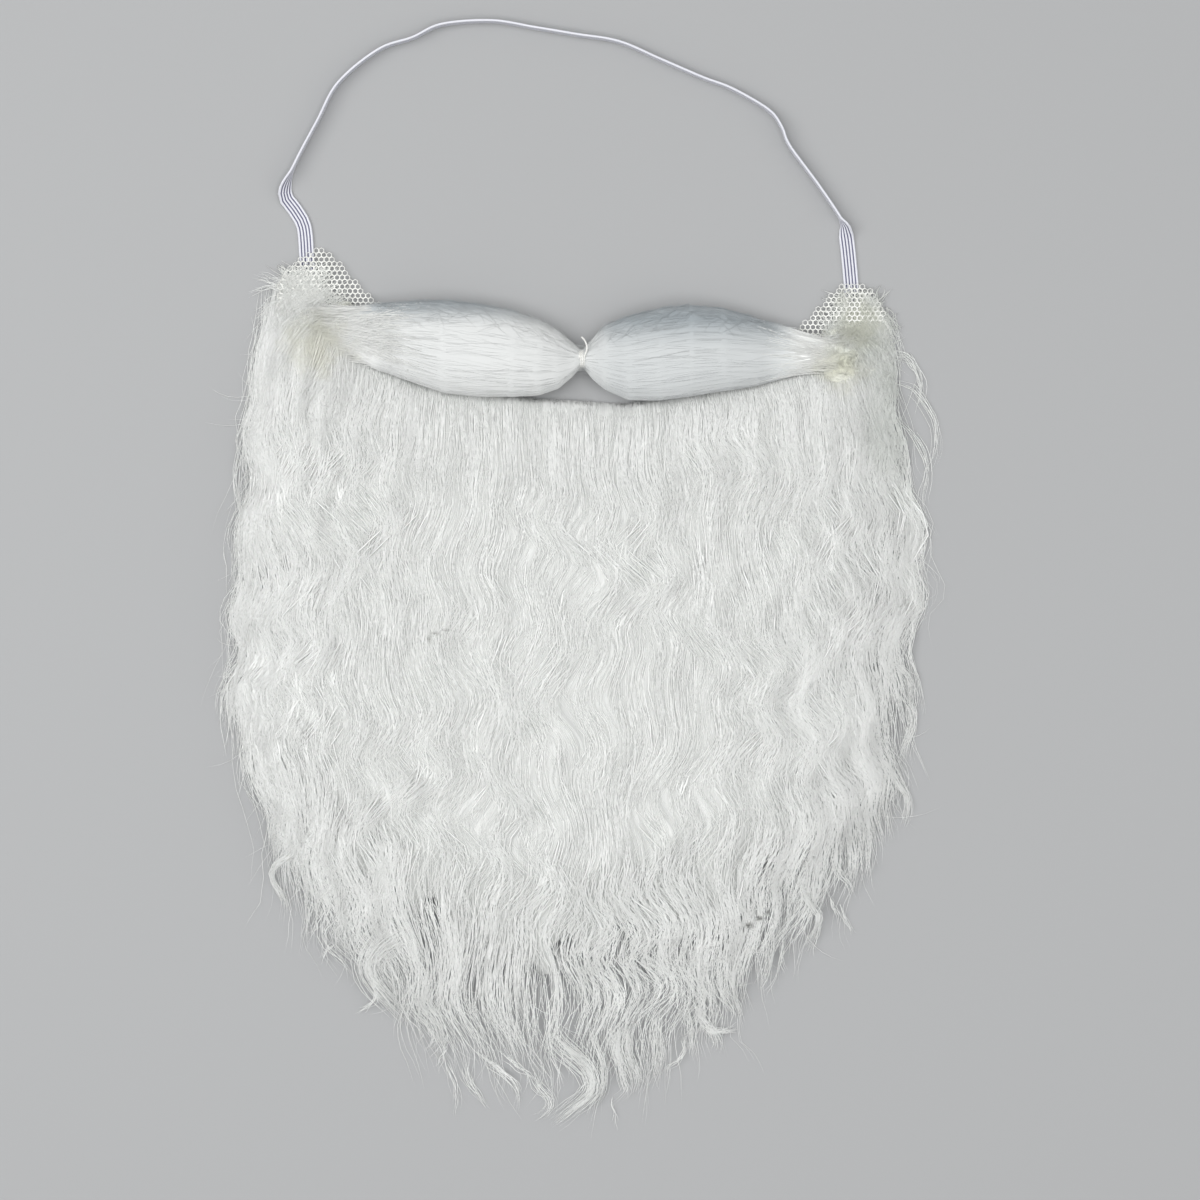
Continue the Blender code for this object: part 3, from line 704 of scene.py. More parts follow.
def beard_locks(
    name, seed, clump_places, hairs, rings, lengths, widths, lift, spread,
    stray=0.8, jitter=0.15, look=hair_look,
):
    """One layer of hair in clumps, whose hairs draw together to the tip."""
    chance = np.random.default_rng(seed)
    clump_across, clump_along, clump_aside = clump_places(chance)
    clumps = len(clump_across)
    of_clump = lambda low, high: np.repeat(chance.uniform(low, high, clumps), hairs)[:, None]
    count = clumps * hairs
    column = (count, 1)
    across = np.repeat(clump_across, hairs)
    length = chance.uniform(*lengths, count) * of_clump(0.85, 1.15)[:, 0]
    share = length / flow_length(across)
    start = np.repeat(clump_along, hairs) * (1.12 - share) - 0.1 + chance.normal(0, 0.012, count)
    highest = -0.05 * (np.clip((0.2 - across) / 0.1, 0, 1) + np.clip((across - 0.84) / 0.08, 0, 1))
    start = np.clip(start, highest, None)
    travel = np.linspace(0, 1, rings)[None]
    along = start[:, None] + travel * share[:, None]
    across = across[:, None]
    x, y = flow_place(across, along)
    swing, phase = crimp(across, x, y, along * flow_length(across))
    swing = swing * of_clump(0.6, 1.2)
    phase = phase + of_clump(-0.45, 0.45) + of_clump(-1.2, 1.2) * travel
    phase = phase + chance.normal(0, jitter, column) + chance.normal(0, jitter, column) * travel
    swing = swing * (1 - 0.35 * np.clip((along - 0.7) / 0.2, 0, 1)) * chance.uniform(0.75, 1.15, column)
    phase = phase + 0.35 * np.sin(2 * phase + of_clump(0, 6.3))
    offset = chance.normal(0, spread, column) * (1 - 0.5 * travel)
    wander = of_clump(-4, 4) * travel + of_clump(-3, 3) * travel**3 + drift(x, y, along * flow_length(across))
    wander = wander + chance.normal(0, stray, column) * travel
    aside = np.repeat(clump_aside, hairs)[:, None] * np.minimum(1, 0.3 + travel)
    x = x + offset + wander + aside + swing * np.sin(phase)
    rise = np.interp(travel, (0, 0.15, 0.8, 1), (-0.6, lift, lift + 0.1, lift - 0.15))
    rise = np.where(start[:, None] < 0.004, np.maximum(rise, lift - 0.15), rise)
    rise = rise + chance.uniform(-0.04, 0.04, column) + of_clump(0.0, 0.1) * np.cos(phase) * swing / 4
    half_width = chance.uniform(*widths, column) * hair_taper(travel)
    paths = np.stack([x, y, lie_on_beard(x, y, rise, chance)], axis=2)
    strip = np.repeat(chance.integers(0, STRIPS, clumps), hairs)
    return fibre_mesh(name, paths, half_width, strip, look)


def all_over(columns, rows):
    """Clumps on a jittered grid over the whole beard; some of those at its lower edge are left out."""
    def places(chance):
        across = (np.tile(np.arange(columns), rows) + chance.random(columns * rows)) / columns
        along = (np.repeat(np.arange(rows), columns) + chance.random(columns * rows)) / rows
        kept = (along < 0.94) | (chance.random(columns * rows) < 0.6)
        return across[kept], along[kept], np.zeros(kept.sum())
    return places


def down_the_sides(count):
    """Clumps along both side edges, lying up to a few millimetres outside them."""
    def places(chance):
        side = chance.integers(0, 2, count)
        inward = np.abs(chance.normal(0, 0.02, count))
        outward = (2 * side - 1) * (np.abs(chance.normal(0, 2.4, count)) - 0.5)
        return np.where(side == 1, 1 - inward, inward), chance.random(count), outward
    return places


def in_band(count, across, along, aside=0):
    """Clumps strewn over a band across the beard, from its first to its last share along the hair."""
    def places(chance):
        spots = chance.uniform(*across, count), chance.uniform(*along, count)
        return (*spots, chance.normal(0, aside, count) if aside else np.zeros(count))
    return places


# Locks that lie apart from the rest, on the tabs, past the sides and past the tips.
# Columns: half width, hairs, and x and y of each place that the lock's middle passes, all in mm.
LOOSE_LOCKS = [
    (6, 60, -92.4, 106.3, -106, 96, -120.5, 67.8),
    (5.5, 60, -94.3, 112, -107, 106, -118.2, 90.9),
    (4.5, 45, -97.4, 117, -106.5, 110.5, -113.6, 98.6),
    (7, 70, -90.5, 102.4, -95.5, 86, -105.9, 60),
    (6, 60, -88.5, 99.3, -88, 80, -88.5, 56.2),
    (2.2, 12, -105.9, 110.1, -115, 113, -124, 115.5),
    (2.6, 12, -105.9, 106, -115, 106, -124, 98),
    (2, 8, -108, 108, -117, 111, -126.5, 108),
    (5.5, 60, 105.9, 87, 114.5, 84, 122.4, 63.9),
    (4.5, 40, 110.5, 102.4, 118.5, 94, 125.1, 79.3),
    (6.5, 70, 104, 85.1, 110, 70, 117.4, 48.5),
    (6, 60, 100.1, 83.9, 101.5, 67, 105.9, 48.5),
    (2, 12, 121, 86, 128, 84, 133, 74, 131, 62),
    (2, 12, 121, 74, 130, 72, 138, 60, 139, 48, 135, 38),
    (1.8, 10, 122, 62, 131, 54, 136, 42, 134, 28, 137, 18),
    (2.4, 12, 120, 52, 127, 42, 130, 26, 128, 8, 131, -8),
    (2, 10, -124, 58, -130, 40, -128, 18, -132, 0),
    (1.5, 14, -121.3, -9, -127, -28.5, -131, -40, -132.5, -48, -133, -60.5),
    (0.6, 3, -131, -6, -133.5, -24.6, -133.6, -32.3, -132.8, -47.7),
    (1, 5, -120.5, -43.9, -121, -51.6, -122, -61.2, -122.4, -70.8),
    (0.8, 4, -124.6, -36, -125.1, -43.9, -124.4, -49.7, -125.5, -55.4),
    (2.8, 34, -120.5, -44, -119, -50, -115.1, -55.4, -117.4, -63.9, -118.2, -70.8, -115.1, -77, -112,
     -83.2),
    (2.4, 26, -115.1, -77, -112, -84.3, -114, -90.9, -115.5, -97.8, -114.3, -102.4, -110.5, -107.8),
    (1.6, 30, -105.9, -99.7, -107.4, -105.5, -111.7, -108.6, -115.5, -112.4, -116.3, -116.3, -114, -120.1,
     -110.9, -124.7, -110.5, -130.9),
    (1.8, 18, -105.9, -86.2, -109.7, -90.1, -112.4, -93.9, -112, -98.6, -109.7, -102.4, -109, -107.4,
     -112.4, -111.7),
    (1.4, 20, -101.3, -86.2, -100.5, -92, -99.7, -97, -102.4, -100.9, -98.9, -103.6, -97.4, -106.3, -101.3,
     -109.3),
    (1, 8, -104, -110.1, -103.2, -115.1, -102.4, -119, -103.2, -124),
    (1.2, 9, -92.4, -117, -96.3, -120.9, -97.8, -124.7, -98.6, -128.6, -98.2, -132.4),
    (0.8, 5, -95.9, -129.4, -93.6, -133.2, -91.2, -137.1),
    (0.9, 5, -91.2, -140.1, -94.3, -142.8, -96.3, -146, -97.4, -149.8),
    (3, 8, -101, -112, -102, -124, -102.8, -136.3, -102.8, -144),
    (2.6, 24, -88.6, -113.2, -89.3, -122.8, -88.6, -130.5, -85.9, -136.3, -83.5, -138.6),
    (6, 80, -63.5, -134.4, -73.2, -140.9, -77.8, -146.7, -78.2, -151.7, -75.1, -157.5, -70.5, -163.2, -66.6,
     -167.9, -63.5, -171.7),
    (1, 8, -78.2, -156, -77, -162.4, -80.9, -165.6, -84.7, -168.3),
    (5, 50, -57.8, -150, -59.7, -163.2, -55, -170.2, -52, -176.7, -53.9, -180.6, -57.8, -184.4),
    (0.8, 5, -49.3, -178.6, -50.4, -182.5, -52.4, -186.3, -54.7, -189.4),
    (2.6, 10, -43.1, -186, -42.5, -192, -40.4, -196, -36.6, -201, -33.9, -205.6),
    (1.6, 6, -50, -186.3, -46.2, -194, -45.4, -201.7, -46.5, -208),
    (1.8, 13, -38, -183, -32.7, -187.1, -27, -191.3, -23.1, -194.8, -21.2, -199.8, -21.9, -205.6),
    (1.8, 8, -30, -182, -23, -188, -17.5, -192.5, -14, -197),
    (3.4, 50, -8.9, -175, -5.8, -179.4, 0, -184.4, 5, -190.2, 6.5, -196, 3.9, -200.6, -1.2, -204.8, -5.8,
     -208.7, -8.9, -211),
    (1.8, 26, 6, -172, 8, -180, 10.4, -186, 11.2, -192, 10.4, -198, 8, -201, 5.8, -205, 5, -208.7),
    (2.6, 16, -16, -189, -13.5, -196, -9.6, -199.8, -8.9, -203.7, -11.6, -207.5, -15.4, -209.4),
    (2.2, 20, 14.6, -170, 15.4, -178.6, 17.3, -186.3, 18.1, -193.3, 20, -197.9, 17.3, -200.6, 14.2, -202.9),
    (0.8, 4, 13.9, -199, 13.9, -203.7, 15, -207.5, 15, -213.3),
    (5, 50, 21.2, -170.9, 19.3, -180.6, 22, -188.3, 23.5, -194, 22.3, -199.8),
    (2.6, 24, 30.8, -166, 30.8, -174.8, 32, -182.5, 30.8, -190.2, 28.1, -197.9),
    (1.1, 12, 41.6, -176, 42, -182.5, 39.7, -186.3, 35.8, -188.7, 34.3, -193.3),
    (3, 18, 42, -164, 44.3, -171, 45, -178.6, 44.3, -186.3),
    (1.5, 24, 45.5, -164, 48.9, -170.2, 52.7, -174.8, 54.7, -180.6, 53.5, -183.3),
    (1.1, 16, 48.9, -172.5, 52.7, -174.8, 58.9, -174.8, 63.5, -173.6),
    (2.8, 22, 56.6, -150, 56.6, -157.5, 59.7, -163.2, 62, -167.9, 61.6, -171.7),
    (4, 22, 75, -136, 75.1, -144, 73.2, -153.6, 70, -159.4),
    (1.4, 30, 86, -116, 89.7, -124.7, 93.6, -130.5, 92, -136.3, 89.3, -140.9, 86.6, -144),
    (0.9, 6, 94.5, -128, 93.6, -136.3, 91.6, -142, 90.5, -147),
    (0.8, 5, 79.5, -140, 79, -147, 80, -153.6),
    (1.2, 7, 97, -120, 99, -126.7, 101.3, -130.5, 102, -134.4),
    (0.9, 7, 102, -126, 104, -132.4, 106.6, -136.3, 107, -139),
    (1.8, 10, 99, -106, 101.3, -113.2, 105.9, -119, 108.2, -124.7),
    (1.8, 28, 119, -68, 122, -74.7, 125.1, -80.5, 128.2, -86.2, 127.8, -92, 125.9, -97),
    (2.2, 22, 124, -44, 129, -50, 130, -56.5, 128.2, -63.1, 125.9, -69, 125.1, -74.7),
    (2, 18, 117.4, -28.5, 123.2, -34.3, 128.2, -40, 129.7, -47.7, 128.2, -55.4),
    (0.5, 3, 122, -26, 125, -32.3, 127, -36.2, 132.5, -40.4),
    (2.4, 16, 119.4, -70, 119.4, -78.5, 118.2, -86.2, 119.4, -93.9, 120.5, -101.6),
    (3, 18, 109, -78, 110.5, -86.2, 112, -97.8, 114.3, -105.5),
    (3.5, 20, 101, -84, 103, -94, 104, -103, 105, -110),
    (1.6, 8, 125.5, -8, 130, -18, 128.5, -30, 132, -40, 134, -54),
]
LOOSE_RINGS = 10


def sampled(stops, reach, line):
    """The places of a line, whose points lie at the given reach, at some stops."""
    return np.stack([np.interp(stops, reach, line[:, axis]) for axis in (0, 1)], axis=1)


def even_line(places, rings):
    """Evenly spaced points on the curve through a lock's places, and the curve's sideways directions."""
    curve = np.array([tuple(point) for point in smooth_route([Vector(place) for place in places], 1.0)])
    reach = np.concatenate([[0], np.cumsum(np.linalg.norm(np.diff(curve, axis=0), axis=1))])
    line = sampled(np.linspace(0, reach[-1], rings), reach, curve)
    heading = np.gradient(line, axis=0)
    heading /= np.linalg.norm(heading, axis=1, keepdims=True)
    return line, np.stack([-heading[:, 1], heading[:, 0]], axis=1)


def loose_locks(name, seed, rings):
    """The locks of the table: hairs beside each other on a curve, closing up to the tip, with small kinks."""
    chance = np.random.default_rng(seed)
    travel = np.linspace(0, 1, rings)
    marks = np.arange(4 * rings)
    paths, widths = [], []
    for half_width, hairs, *route in LOOSE_LOCKS:
        line, aside = even_line(list(zip(route[::2], route[1::2])), 4 * rings)
        for _ in range(hairs):
            first, last = chance.uniform(-0.02, 0.25), chance.uniform(0.75, 1.02)
            stops = np.clip(first + (last - first) * travel, 0, 1) * (4 * rings - 1)
            offset = 0.6 * half_width * chance.normal() * (1 - 0.45 * travel)
            offset = offset + chance.normal(0, 1.0) * travel**2
            kink = chance.uniform(0.1, 0.5) * np.sin(chance.uniform(7, 16) * travel + chance.uniform(0, 6.3))
            spot = sampled(stops, marks, line) + sampled(stops, marks, aside) * (offset + kink)[:, None]
            rise = np.interp(travel, (0, 0.2, 1), (-0.3, 0.7, 0.5)) + chance.uniform(-0.3, 0.5)
            lowest = LOWEST_HAIR + 0.5 * chance.random()
            height = np.maximum(height_at(beard_top, spot[:, 0], spot[:, 1]) + rise, lowest)
            paths.append(np.column_stack([spot, height]))
            widths.append(chance.uniform(0.06, 0.15) * hair_taper(travel))
    strip = chance.integers(0, STRIPS, len(paths))
    return fibre_mesh(name, np.array(paths), np.array(widths), strip, hair_look)


FRIZZ_RINGS = 6


def frizz(name, seed, count):
    """Single short hairs that have sprung out of the waves and cross the others in loose arcs."""
    chance, column, travel = hair_draws(seed, count, FRIZZ_RINGS)
    x, y = flow_place(chance.uniform(0.02, 0.98, count), chance.uniform(0.04, 0.93, count))
    length = chance.uniform(9, 24, column)
    way = chance.normal(0, 0.55, column) + chance.normal(0, 0.9, column) * travel
    step = length / (FRIZZ_RINGS - 1)
    x = x[:, None] + np.cumsum(np.sin(way), axis=1) * step
    y = y[:, None] - np.cumsum(np.cos(way), axis=1) * step
    rise = 0.25 + chance.uniform(-0.1, 0.35, column) * np.sin(np.pi * travel)
    half_width = chance.uniform(0.05, 0.1, column) * hair_taper(travel)
    paths = np.stack([x, y, lie_on_beard(x, y, rise, chance)], axis=2)
    return fibre_mesh(name, paths, half_width, chance.integers(0, STRIPS, count), hair_look)


# Columns: name, seed, clumps, hairs in a clump, rings, lengths, half widths, lift off the beard, spread of a
# clump; then the stray of its tips, its hairs' difference in phase and the material, where not the usual.
BEARD_LAYERS = [
    ("beard_fill", 11, all_over(38, 11), 3, 8, (46, 62), (0.22, 0.4), -0.15, 2.2, 0.8, 0.15, ribbon_look),
    ("beard_root_hair", 18, in_band(200, (0.02, 0.98), (0.06, 0.14)), 5, 7, (24, 40), (0.08, 0.16), 0.05,
     1.6),
    ("beard_hair_a", 12, all_over(36, 12), 5, 9, (38, 54), (0.14, 0.24), 0.0, 2.4),
    ("beard_hair_b", 13, all_over(34, 12), 5, 9, (36, 52), (0.09, 0.18), 0.05, 2.6, 1.6, 0.3),
    ("beard_hair_c", 14, all_over(26, 11), 5, 9, (32, 48), (0.06, 0.13), 0.1, 2.8, 3.0, 0.4),
    ("beard_felt", 25, all_over(55, 22), 3, 6, (14, 26), (0.06, 0.12), 0.12, 3.0, 3.0, 0.9),
    ("beard_bundles", 19, all_over(9, 6), 9, 12, (40, 60), (0.06, 0.11), 0.2, 1.2, 0.6, 0.2),
    ("beard_hem_hair", 20, in_band(390, (0.05, 0.95), (0.76, 0.93)), 3, 8, (26, 40), (0.08, 0.16), 0.1, 3.0,
     1.5, 0.4),
    ("beard_side_hair", 15, down_the_sides(110), 4, 12, (45, 75), (0.05, 0.11), 0.2, 1.8, 2.0, 0.4),
    ("beard_tip_hair", 16, in_band(120, (0.02, 0.98), (0.93, 1.06), 3), 3, 12, (40, 60), (0.07, 0.13), 0.2,
     2.5, 2.6, 0.4),
]
beard_layers = [
    under,
    *(beard_locks(*row) for row in BEARD_LAYERS),
    loose_locks("beard_loose_locks", 17, LOOSE_RINGS),
    frizz("beard_frizz", 24, 700),
]
for layer in beard_layers:
    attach(layer, "root")
    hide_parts("beard_hair")


# The moustache. One hank of straight white fibre, about 200 mm long, tied at the middle so that it swells
# into two spindle lobes; its thin ends are caught down on the ear tabs.
# Columns: x, lower y, upper y, lower z, upper z.
MOUSTACHE_SECTIONS = np.array([
    (-94.3, 89.0, 102.0, 1.6, 3.8),
    (-88.6, 85.8, 102.8, 2.2, 8.0),
    (-77.0, 79.2, 104.2, 2.2, 14.2),
    (-64.3, 74.6, 104.9, 2.0, 18.5),
    (-50.0, 69.6, 105.3, 1.05, 21.5),
    (-36.0, 68.2, 104.0, 1.05, 22.0),
    (-24.0, 68.2, 101.4, 1.05, 21.5),
    (-14.0, 68.8, 98.0, 1.2, 19.5),
    (-6.5, 71.3, 94.0, 2.6, 16.5),
    (-1.2, 75.8, 89.6, 4.0, 13.2),
    (1.4, 78.8, 87.6, 5.2, 12.1),
    (2.0, 80.4, 86.0, 5.9, 11.3),
    (3.4, 80.4, 86.0, 5.9, 11.3),
    (4.0, 78.8, 87.8, 5.2, 12.1),
    (6.4, 75.4, 90.6, 4.0, 13.2),
    (11.2, 71.2, 95.9, 2.4, 16.8),
    (20.4, 67.0, 99.3, 1.1, 20.0),
    (32.7, 66.8, 102.4, 1.05, 21.8),
    (44.3, 68.4, 103.6, 1.05, 22.0),
    (56.6, 70.4, 102.4, 1.05, 20.5),
    (68.9, 72.3, 98.9, 1.4, 17.0),
    (84.3, 76.6, 94.7, 2.6, 12.0),
    (97.8, 79.9, 90.5, 3.0, 8.5),
    (106.6, 83.4, 87.2, 3.4, 6.4),
])
HANK_SECTIONS, HANK_SIDES = 130, 40


def hank_point(x, turn, share):
    """A place in mm at a turn round the hank and a share of the way out from its middle."""
    low_y, high_y, low_z, high_z = (
        np.interp(x, MOUSTACHE_SECTIONS[:, 0], MOUSTACHE_SECTIONS[:, column]) for column in range(1, 5)
    )
    gather = np.exp(-((x - 2.7) / 9) ** 2) + np.clip((x - 62) / 30, 0, 1)
    share = share * (1 - 0.035 * gather * (1 + np.cos(7 * turn + 0.02 * x)))
    y = (low_y + high_y) / 2 + (high_y - low_y) / 2 * share * np.cos(turn)
    z = (low_z + high_z) / 2 + (high_z - low_z) / 2 * share * np.sin(turn)
    return np.stack([np.broadcast_to(x, y.shape), y, np.maximum(z, 1.4)], axis=-1)


hank_bm = bmesh.new()
hank_turns = 2 * np.pi * np.arange(HANK_SIDES) / HANK_SIDES
hank_rows = np.linspace(MOUSTACHE_SECTIONS[0, 0], MOUSTACHE_SECTIONS[-1, 0], HANK_SECTIONS)
loft(hank_bm, [[Vector(point * MM) for point in hank_point(x, hank_turns, 0.985)] for x in hank_rows])
wrap_uv(hank_bm, "OFBake", HANK_SIDES, lambda row: row / HANK_SECTIONS)


# The y in metres where painted shade and thinning start on the hank's left and right lobe, and are fullest.
THIN_SHADE_FROM_LEFT, THIN_SHADE_FROM_RIGHT, THIN_SHADE_FULLY = 0.0935, 0.084, 0.1065


def hank_shade_and_thin_group():
    """Node group: the thin hank's painted shade, most at its upper edge and right lobe, and where it ends."""
    group, place, end = new_group("hank_shade_and_thin", "Place", "Thin_and_shade", "Ends")
    split = wire(group, "ShaderNodeSeparateXYZ", {0: place}).outputs
    right = ranged(group, split["X"], -0.002, 0.018, way="SMOOTHSTEP")
    edge = ranged(group, right, 0.0, 1.0, THIN_SHADE_FROM_LEFT, THIN_SHADE_FROM_RIGHT)
    upper = ranged(group, split["Y"], edge, THIN_SHADE_FULLY, way="SMOOTHSTEP")
    both = math_node(group, "MULTIPLY_ADD", right, 0.3, upper)
    from_tie = math_node(group, "ABSOLUTE", split["X"])
    ends = ranged(group, from_tie, 0.070, 0.090, way="SMOOTHSTEP")
    most = math_node(group, "SUBTRACT", 0.95, ends)
    group.links.new(math_node(group, "MINIMUM", both, most), end.inputs["Thin_and_shade"])
    group.links.new(ends, end.inputs["Ends"])
    return group


hank_shade_and_thin = hank_shade_and_thin_group()
HANK_LIGHT, HANK_SHADE = (0.63, 0.642, 0.637, 1), (0.60, 0.612, 0.608, 1)
HANK_END_LIGHT = (0.87, 0.88, 0.86, 1)
hank_look = fibre_look("white_fibre_hank", (420, 24.0, 1), HANK_LIGHT, HANK_SHADE, 0.00002, hank_shade_and_thin)
strand_look = fibre_look(
    "white_fibre_strand", (STRIPS * 2, 3.0, 1), HANK_LIGHT, HANK_SHADE, 0.00002, hank_shade_and_thin
)
end_look = fibre_look("white_fibre_ends", (STRIPS * 2, 3.0, 1), HANK_END_LIGHT, RIBBON_SHADE, 0.00002)
hank = from_bmesh("moustache_under_hair", hank_bm, hank_look)


# The turns round the hank, from its upper edge over the front, that its hairs cover.
HANK_FRONT = (-0.35, math.pi + 0.35)
HANK_UPPER_EDGE = (-0.2, 1.1)


def hank_strands(name, seed, count, rings, reach, widths, turns, proud, waver):
    """Hairs along the hank's upper side; proud is how far each may stand off it, as a share of its radius."""
    chance, column, travel = hair_draws(seed, count, rings)
    lobe = np.where(chance.random(column) < 0.5, -97.0, 104.0)
    first = chance.uniform(-0.05, 0.86, column)
    last = np.minimum(first + chance.uniform(*reach, column), 1.0)
    x = 2.7 + lobe * (first + (last - first) * travel)
    turn = chance.uniform(*turns, column)
    turn = turn + chance.normal(0, waver, column) * (travel - 0.5)
    share = 0.986 + 0.004 * np.sin(np.pi * travel) + chance.uniform(*proud, column) * travel**2
    taper = (1 - travel**3) * np.minimum(1, 0.3 + 4 * travel) + 0.05
    half_width = chance.uniform(*widths, column) * taper
    strip = chance.integers(0, STRIPS, count)
    return fibre_mesh(name, hank_point(x, turn, share), half_width, strip, strand_look, flatness=0.1)


# The hank's ends. Columns: first and last x on the hank, bend x and y, tip x and y, their spread, hairs.
HANK_ENDS = [
    (-84.0, -58.0, -90.0, 96.0, -102.0, 96.0, 8.5, 330),
    (-78.0, -52.0, -86.0, 92.0, -96.0, 86.0, 8.0, 170),
    (78.0, 93.0, 101.5, 85.5, 106.0, 94.0, 2.5, 80),
    (70.0, 90.0, 97.0, 84.0, 109.0, 80.0, 4.5, 110),
]
END_RINGS = 9

hank_top = height_map("beard_hair", "net_backing", "moustache_hair")


def hank_end_strands(name, seed):
    """The hank's last hairs, which spread over the left tab and twist into a small hook on the right one."""
    chance = np.random.default_rng(seed)
    rows = np.repeat(np.array(HANK_ENDS), [row[7] for row in HANK_ENDS], axis=0)
    count = len(rows)
    travel = np.linspace(0, 1, END_RINGS)[None, :, None]
    turn = chance.uniform(0.15, math.pi - 0.15, count)
    root = hank_point(chance.uniform(rows[:, 0], rows[:, 1]), turn, np.full(count, 0.99))
    across = np.cos(turn) * rows[:, 6]
    bend = np.stack([rows[:, 2], rows[:, 3] + 0.7 * across, chance.uniform(5.5, 8.5, count)], axis=1)
    tip = np.stack([rows[:, 4], rows[:, 5] + across, np.full(count, 2.5)], axis=1)
    tip = tip + chance.normal(0, (4.0, 1.6, 0.3), (count, 3))
    line = root[:, None] * (1 - travel) ** 2 + 2 * bend[:, None] * travel * (1 - travel)
    line = line + tip[:, None] * travel**2
    x, y, z = line[..., 0], line[..., 1], line[..., 2]
    z = np.maximum(np.minimum(z, 16), height_at(hank_top, x, y) + chance.uniform(-0.1, 0.7, (count, 1)))
    half_width = chance.uniform(0.07, 0.15, (count, 1)) * hair_taper(travel[..., 0])
    paths = np.stack([x, y, z], axis=2)
    return fibre_mesh(name, paths, half_width, chance.integers(0, STRIPS, count), end_look)


moustache_pieces = [
    hank,
    hank_strands(
        "moustache_strands", 21, 1100, 7, (0.12, 0.3), (0.03, 0.07), HANK_FRONT, (-0.002, 0.004), 0.12
    ),
    hank_strands(
        "moustache_fuzz", 22, 520, 6, (0.04, 0.12), (0.05, 0.09), HANK_UPPER_EDGE, (0.0, 0.13), 0.35
    ),
    hank_end_strands("moustache_ends", 23),
]
for piece in moustache_pieces:
    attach(piece, "root")
    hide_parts("moustache_hair")


# The stitching and the loose fluff on the tabs. Hair that worked loose when the moustache's ends were sewn
# down is matted into a small yellowed tuft at each stitch, and thin fluff covers most of the bare net.
# Columns: centre x and y, half width in x and y, hairs.
STITCH_TUFTS = [
    (-89.5, 103.4, 3.4, 2.0, 50),
    (98.5, 92.2, 3.2, 3.4, 100),
    (105.5, 83.5, 4.6, 4.0, 60),
    (103.0, 77.4, 6.4, 3.2, 120),
]
TUFT_RINGS = 12
# Columns: lowest and highest x, lowest and highest y of the hairs' middles, hairs, slant in x per mm down.
TAB_FLUFF = [
    (-112.0, -97.0, 105.0, 117.0, 380, -0.3),
    (-113.0, -90.0, 96.0, 108.0, 340, -0.5),
    (101.0, 117.0, 95.0, 107.0, 380, 0.15),
    (97.0, 121.0, 86.0, 99.0, 420, 0.3),
    (107.0, 122.0, 74.0, 90.0, 180, 0.3),
]
FLUFF_RINGS = 6


def stitch_tufts(name, seed):
    """Matted tufts: each hair loops round its stitch, nearer to it and farther from it in turns."""
    rows = np.repeat(np.array(STITCH_TUFTS), [row[4] for row in STITCH_TUFTS], axis=0)[:, None]
    count = len(rows)
    chance, column, travel = hair_draws(seed, count, TUFT_RINGS)
    turn = chance.uniform(-8, 8, column) * travel + chance.uniform(0, 6.3, column)
    reach = chance.uniform(0.2, 1.0, column)
    reach = reach + 0.35 * np.sin(chance.uniform(3, 8, column) * travel + chance.uniform(0, 6.3, column))
    x = rows[..., 0] + rows[..., 2] * reach * np.cos(turn)
    y = rows[..., 1] + rows[..., 3] * reach * np.sin(turn)
    z = height_at(hank_top, x, y) + 0.5 + 1.2 * (1.1 - reach) + 0.5 * np.sin(2 * turn)
    half_width = chance.uniform(0.08, 0.15, column) * hair_taper(travel)
    strip = chance.integers(0, STRIPS, count)
    return fibre_mesh(name, np.stack([x, y, z], axis=2), half_width, strip, matted_look, flatness=0.5)


def tab_fluff(name, seed):
    """Short curly hairs that lie over the net."""
    rows = np.repeat(np.array(TAB_FLUFF), [row[4] for row in TAB_FLUFF], axis=0)
    count = len(rows)
    chance, column, travel = hair_draws(seed, count, FLUFF_RINGS)
    x = chance.uniform(rows[:, 0], rows[:, 1])[:, None]
    y = chance.uniform(rows[:, 2], rows[:, 3])[:, None]
    down = chance.uniform(4, 11, column)
    bow = chance.normal(0, 1.5, column) * np.sin(np.pi * travel)
    curl = chance.uniform(0.2, 0.9, column) * np.sin(8 * travel + chance.uniform(0, 6.3, column))
    x = x + (travel - 0.5) * down * (rows[:, 5] + chance.normal(0, 0.8, count))[:, None] + bow + curl
    y = y - (travel - 0.5) * down + 0.5 * bow
    z = height_at(hank_top, x, y) + 0.7 + chance.uniform(0, 0.9, column) * np.sin(np.pi * travel)
    half_width = chance.uniform(0.07, 0.14, column) * hair_taper(travel)
    paths = np.stack([x, y, z], axis=2)
    return fibre_mesh(name, paths, half_width, chance.integers(0, STRIPS, count), fluff_look)


for piece in (stitch_tufts("stitch_tufts", 31), tab_fluff("tab_fluff", 32)):
    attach(piece, "root")


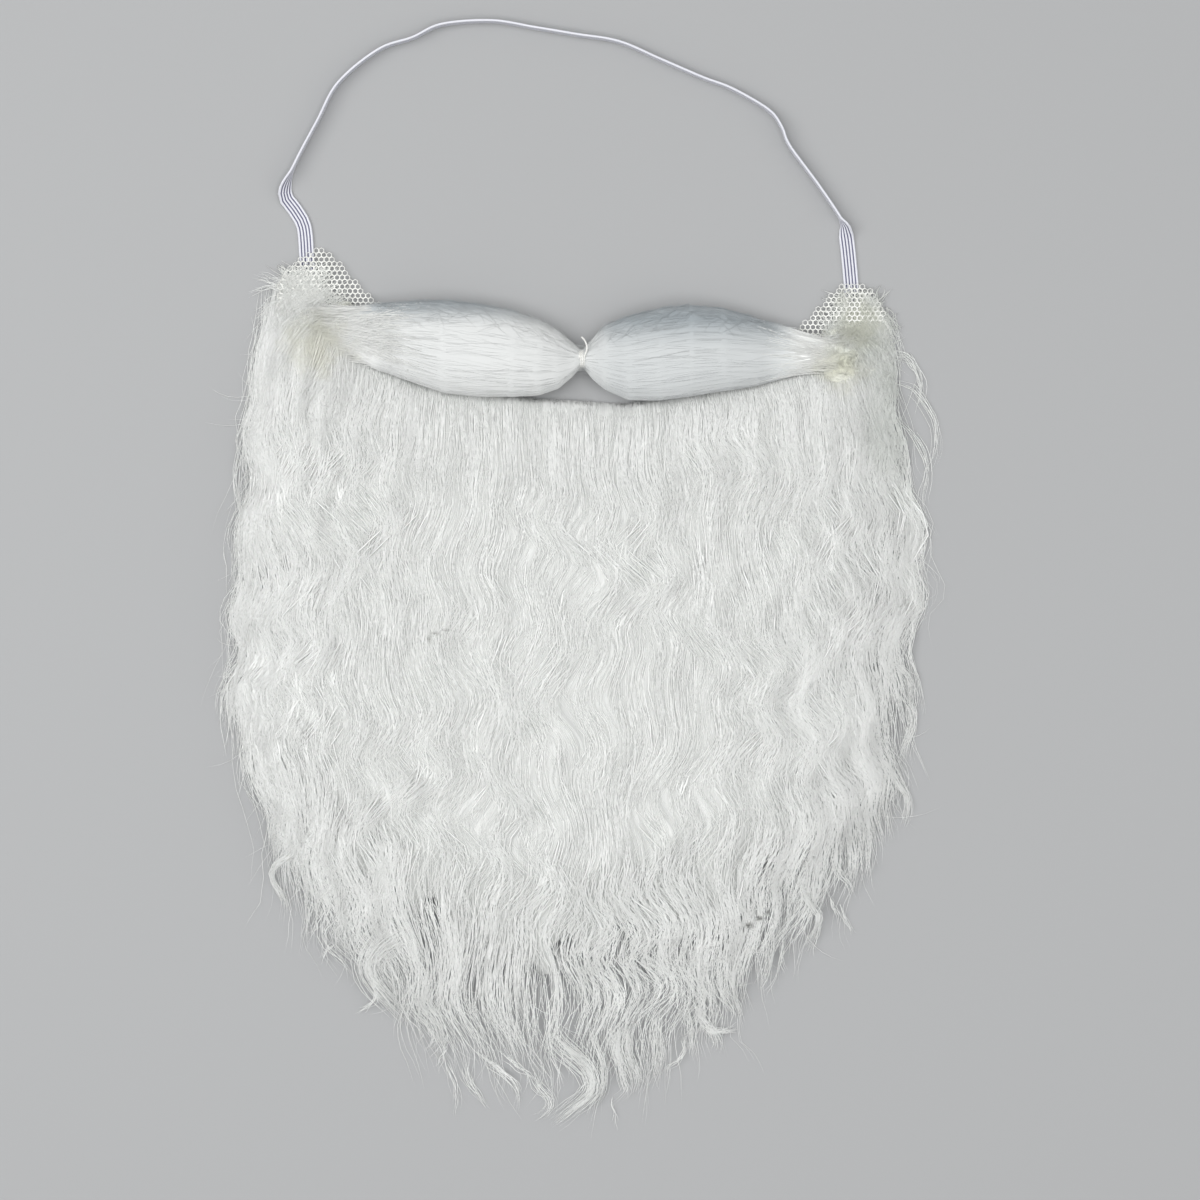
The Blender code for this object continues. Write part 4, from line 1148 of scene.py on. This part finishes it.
# The tie. White twisted sewing thread wound tightly round the hank's middle three times and knotted, with
# one short end that stands up and curls.
TIE_CENTRE = Vector((2.7, 83.2, 8.6))
TIE_RADIUS = 3.2
THREAD_RADIUS = 0.32
TIE_TURNS = 3
TIE_STEPS = 22
THREAD_SIDES = 8
THREAD_PITCH = 0.45
THREAD_SHADE, THREAD_LIGHT = (0.66, 0.66, 0.63, 1), (0.90, 0.90, 0.87, 1)

tie_look, tie_tree, tie_shader = new_material("twisted_thread", Roughness=0.7, Sheen_Weight=0.2)
tie_map = wire(tie_tree, "ShaderNodeUVMap", uv_map="twist").outputs["UV"]
tie_lean = vector_node(tie_tree, "DOT_PRODUCT", tie_map, (1.0, 1.0, 0.0))["Value"]
tie_ply = math_node(tie_tree, "SINE", math_node(tie_tree, "MULTIPLY", tie_lean, 4 * math.pi))
tie_mask = ranged(tie_tree, tie_ply, -1.0, 0.2)
paint(tie_tree, tie_shader, tie_mask, THREAD_SHADE, THREAD_LIGHT)
roughen(tie_tree, tie_shader, tie_ply, 0.7, 0.0001)

TAIL_REACH = [(1.1, 1.0, 3.9), (1.9, 3.2, 4.5), (1.7, 5.2, 4.4), (0.9, 6.9, 4.2), (-0.2, 8.0, 4.1)]
wound = TIE_TURNS * TIE_STEPS
tie_points = []
for step in range(wound + 1):
    turn = 2 * math.pi * step / TIE_STEPS
    along = (step / wound - 0.5) * 2 * THREAD_RADIUS * TIE_TURNS
    tie_points.append(TIE_CENTRE + Vector((along, TIE_RADIUS * math.sin(turn), TIE_RADIUS * math.cos(turn))))
tail = smooth_route([tie_points[-1], *(TIE_CENTRE + Vector(reach) for reach in TAIL_REACH)], 0.8)
tie_points += tail[1:]
tie_sections = []
across = Vector((1, 0, 0))
for before, place, after in zip([tie_points[0], *tie_points], tie_points, [*tie_points[1:], tie_points[-1]]):
    heading = (after - before).normalized()
    across = (across - heading * across.dot(heading)).normalized()
    lift = heading.cross(across)
    turns = [2 * math.pi * side / THREAD_SIDES for side in range(THREAD_SIDES)]
    ring = [place + (across * math.cos(turn) + lift * math.sin(turn)) * THREAD_RADIUS for turn in turns]
    tie_sections.append([point * MM for point in ring])
tie_bm = bmesh.new()
loft(tie_bm, tie_sections)
wrap_uv(tie_bm, "twist", THREAD_SIDES, lambda row: row * THREAD_PITCH)
tie = from_bmesh("moustache_thread", tie_bm, tie_look)
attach(tie, "root")
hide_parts("moustache_tie")
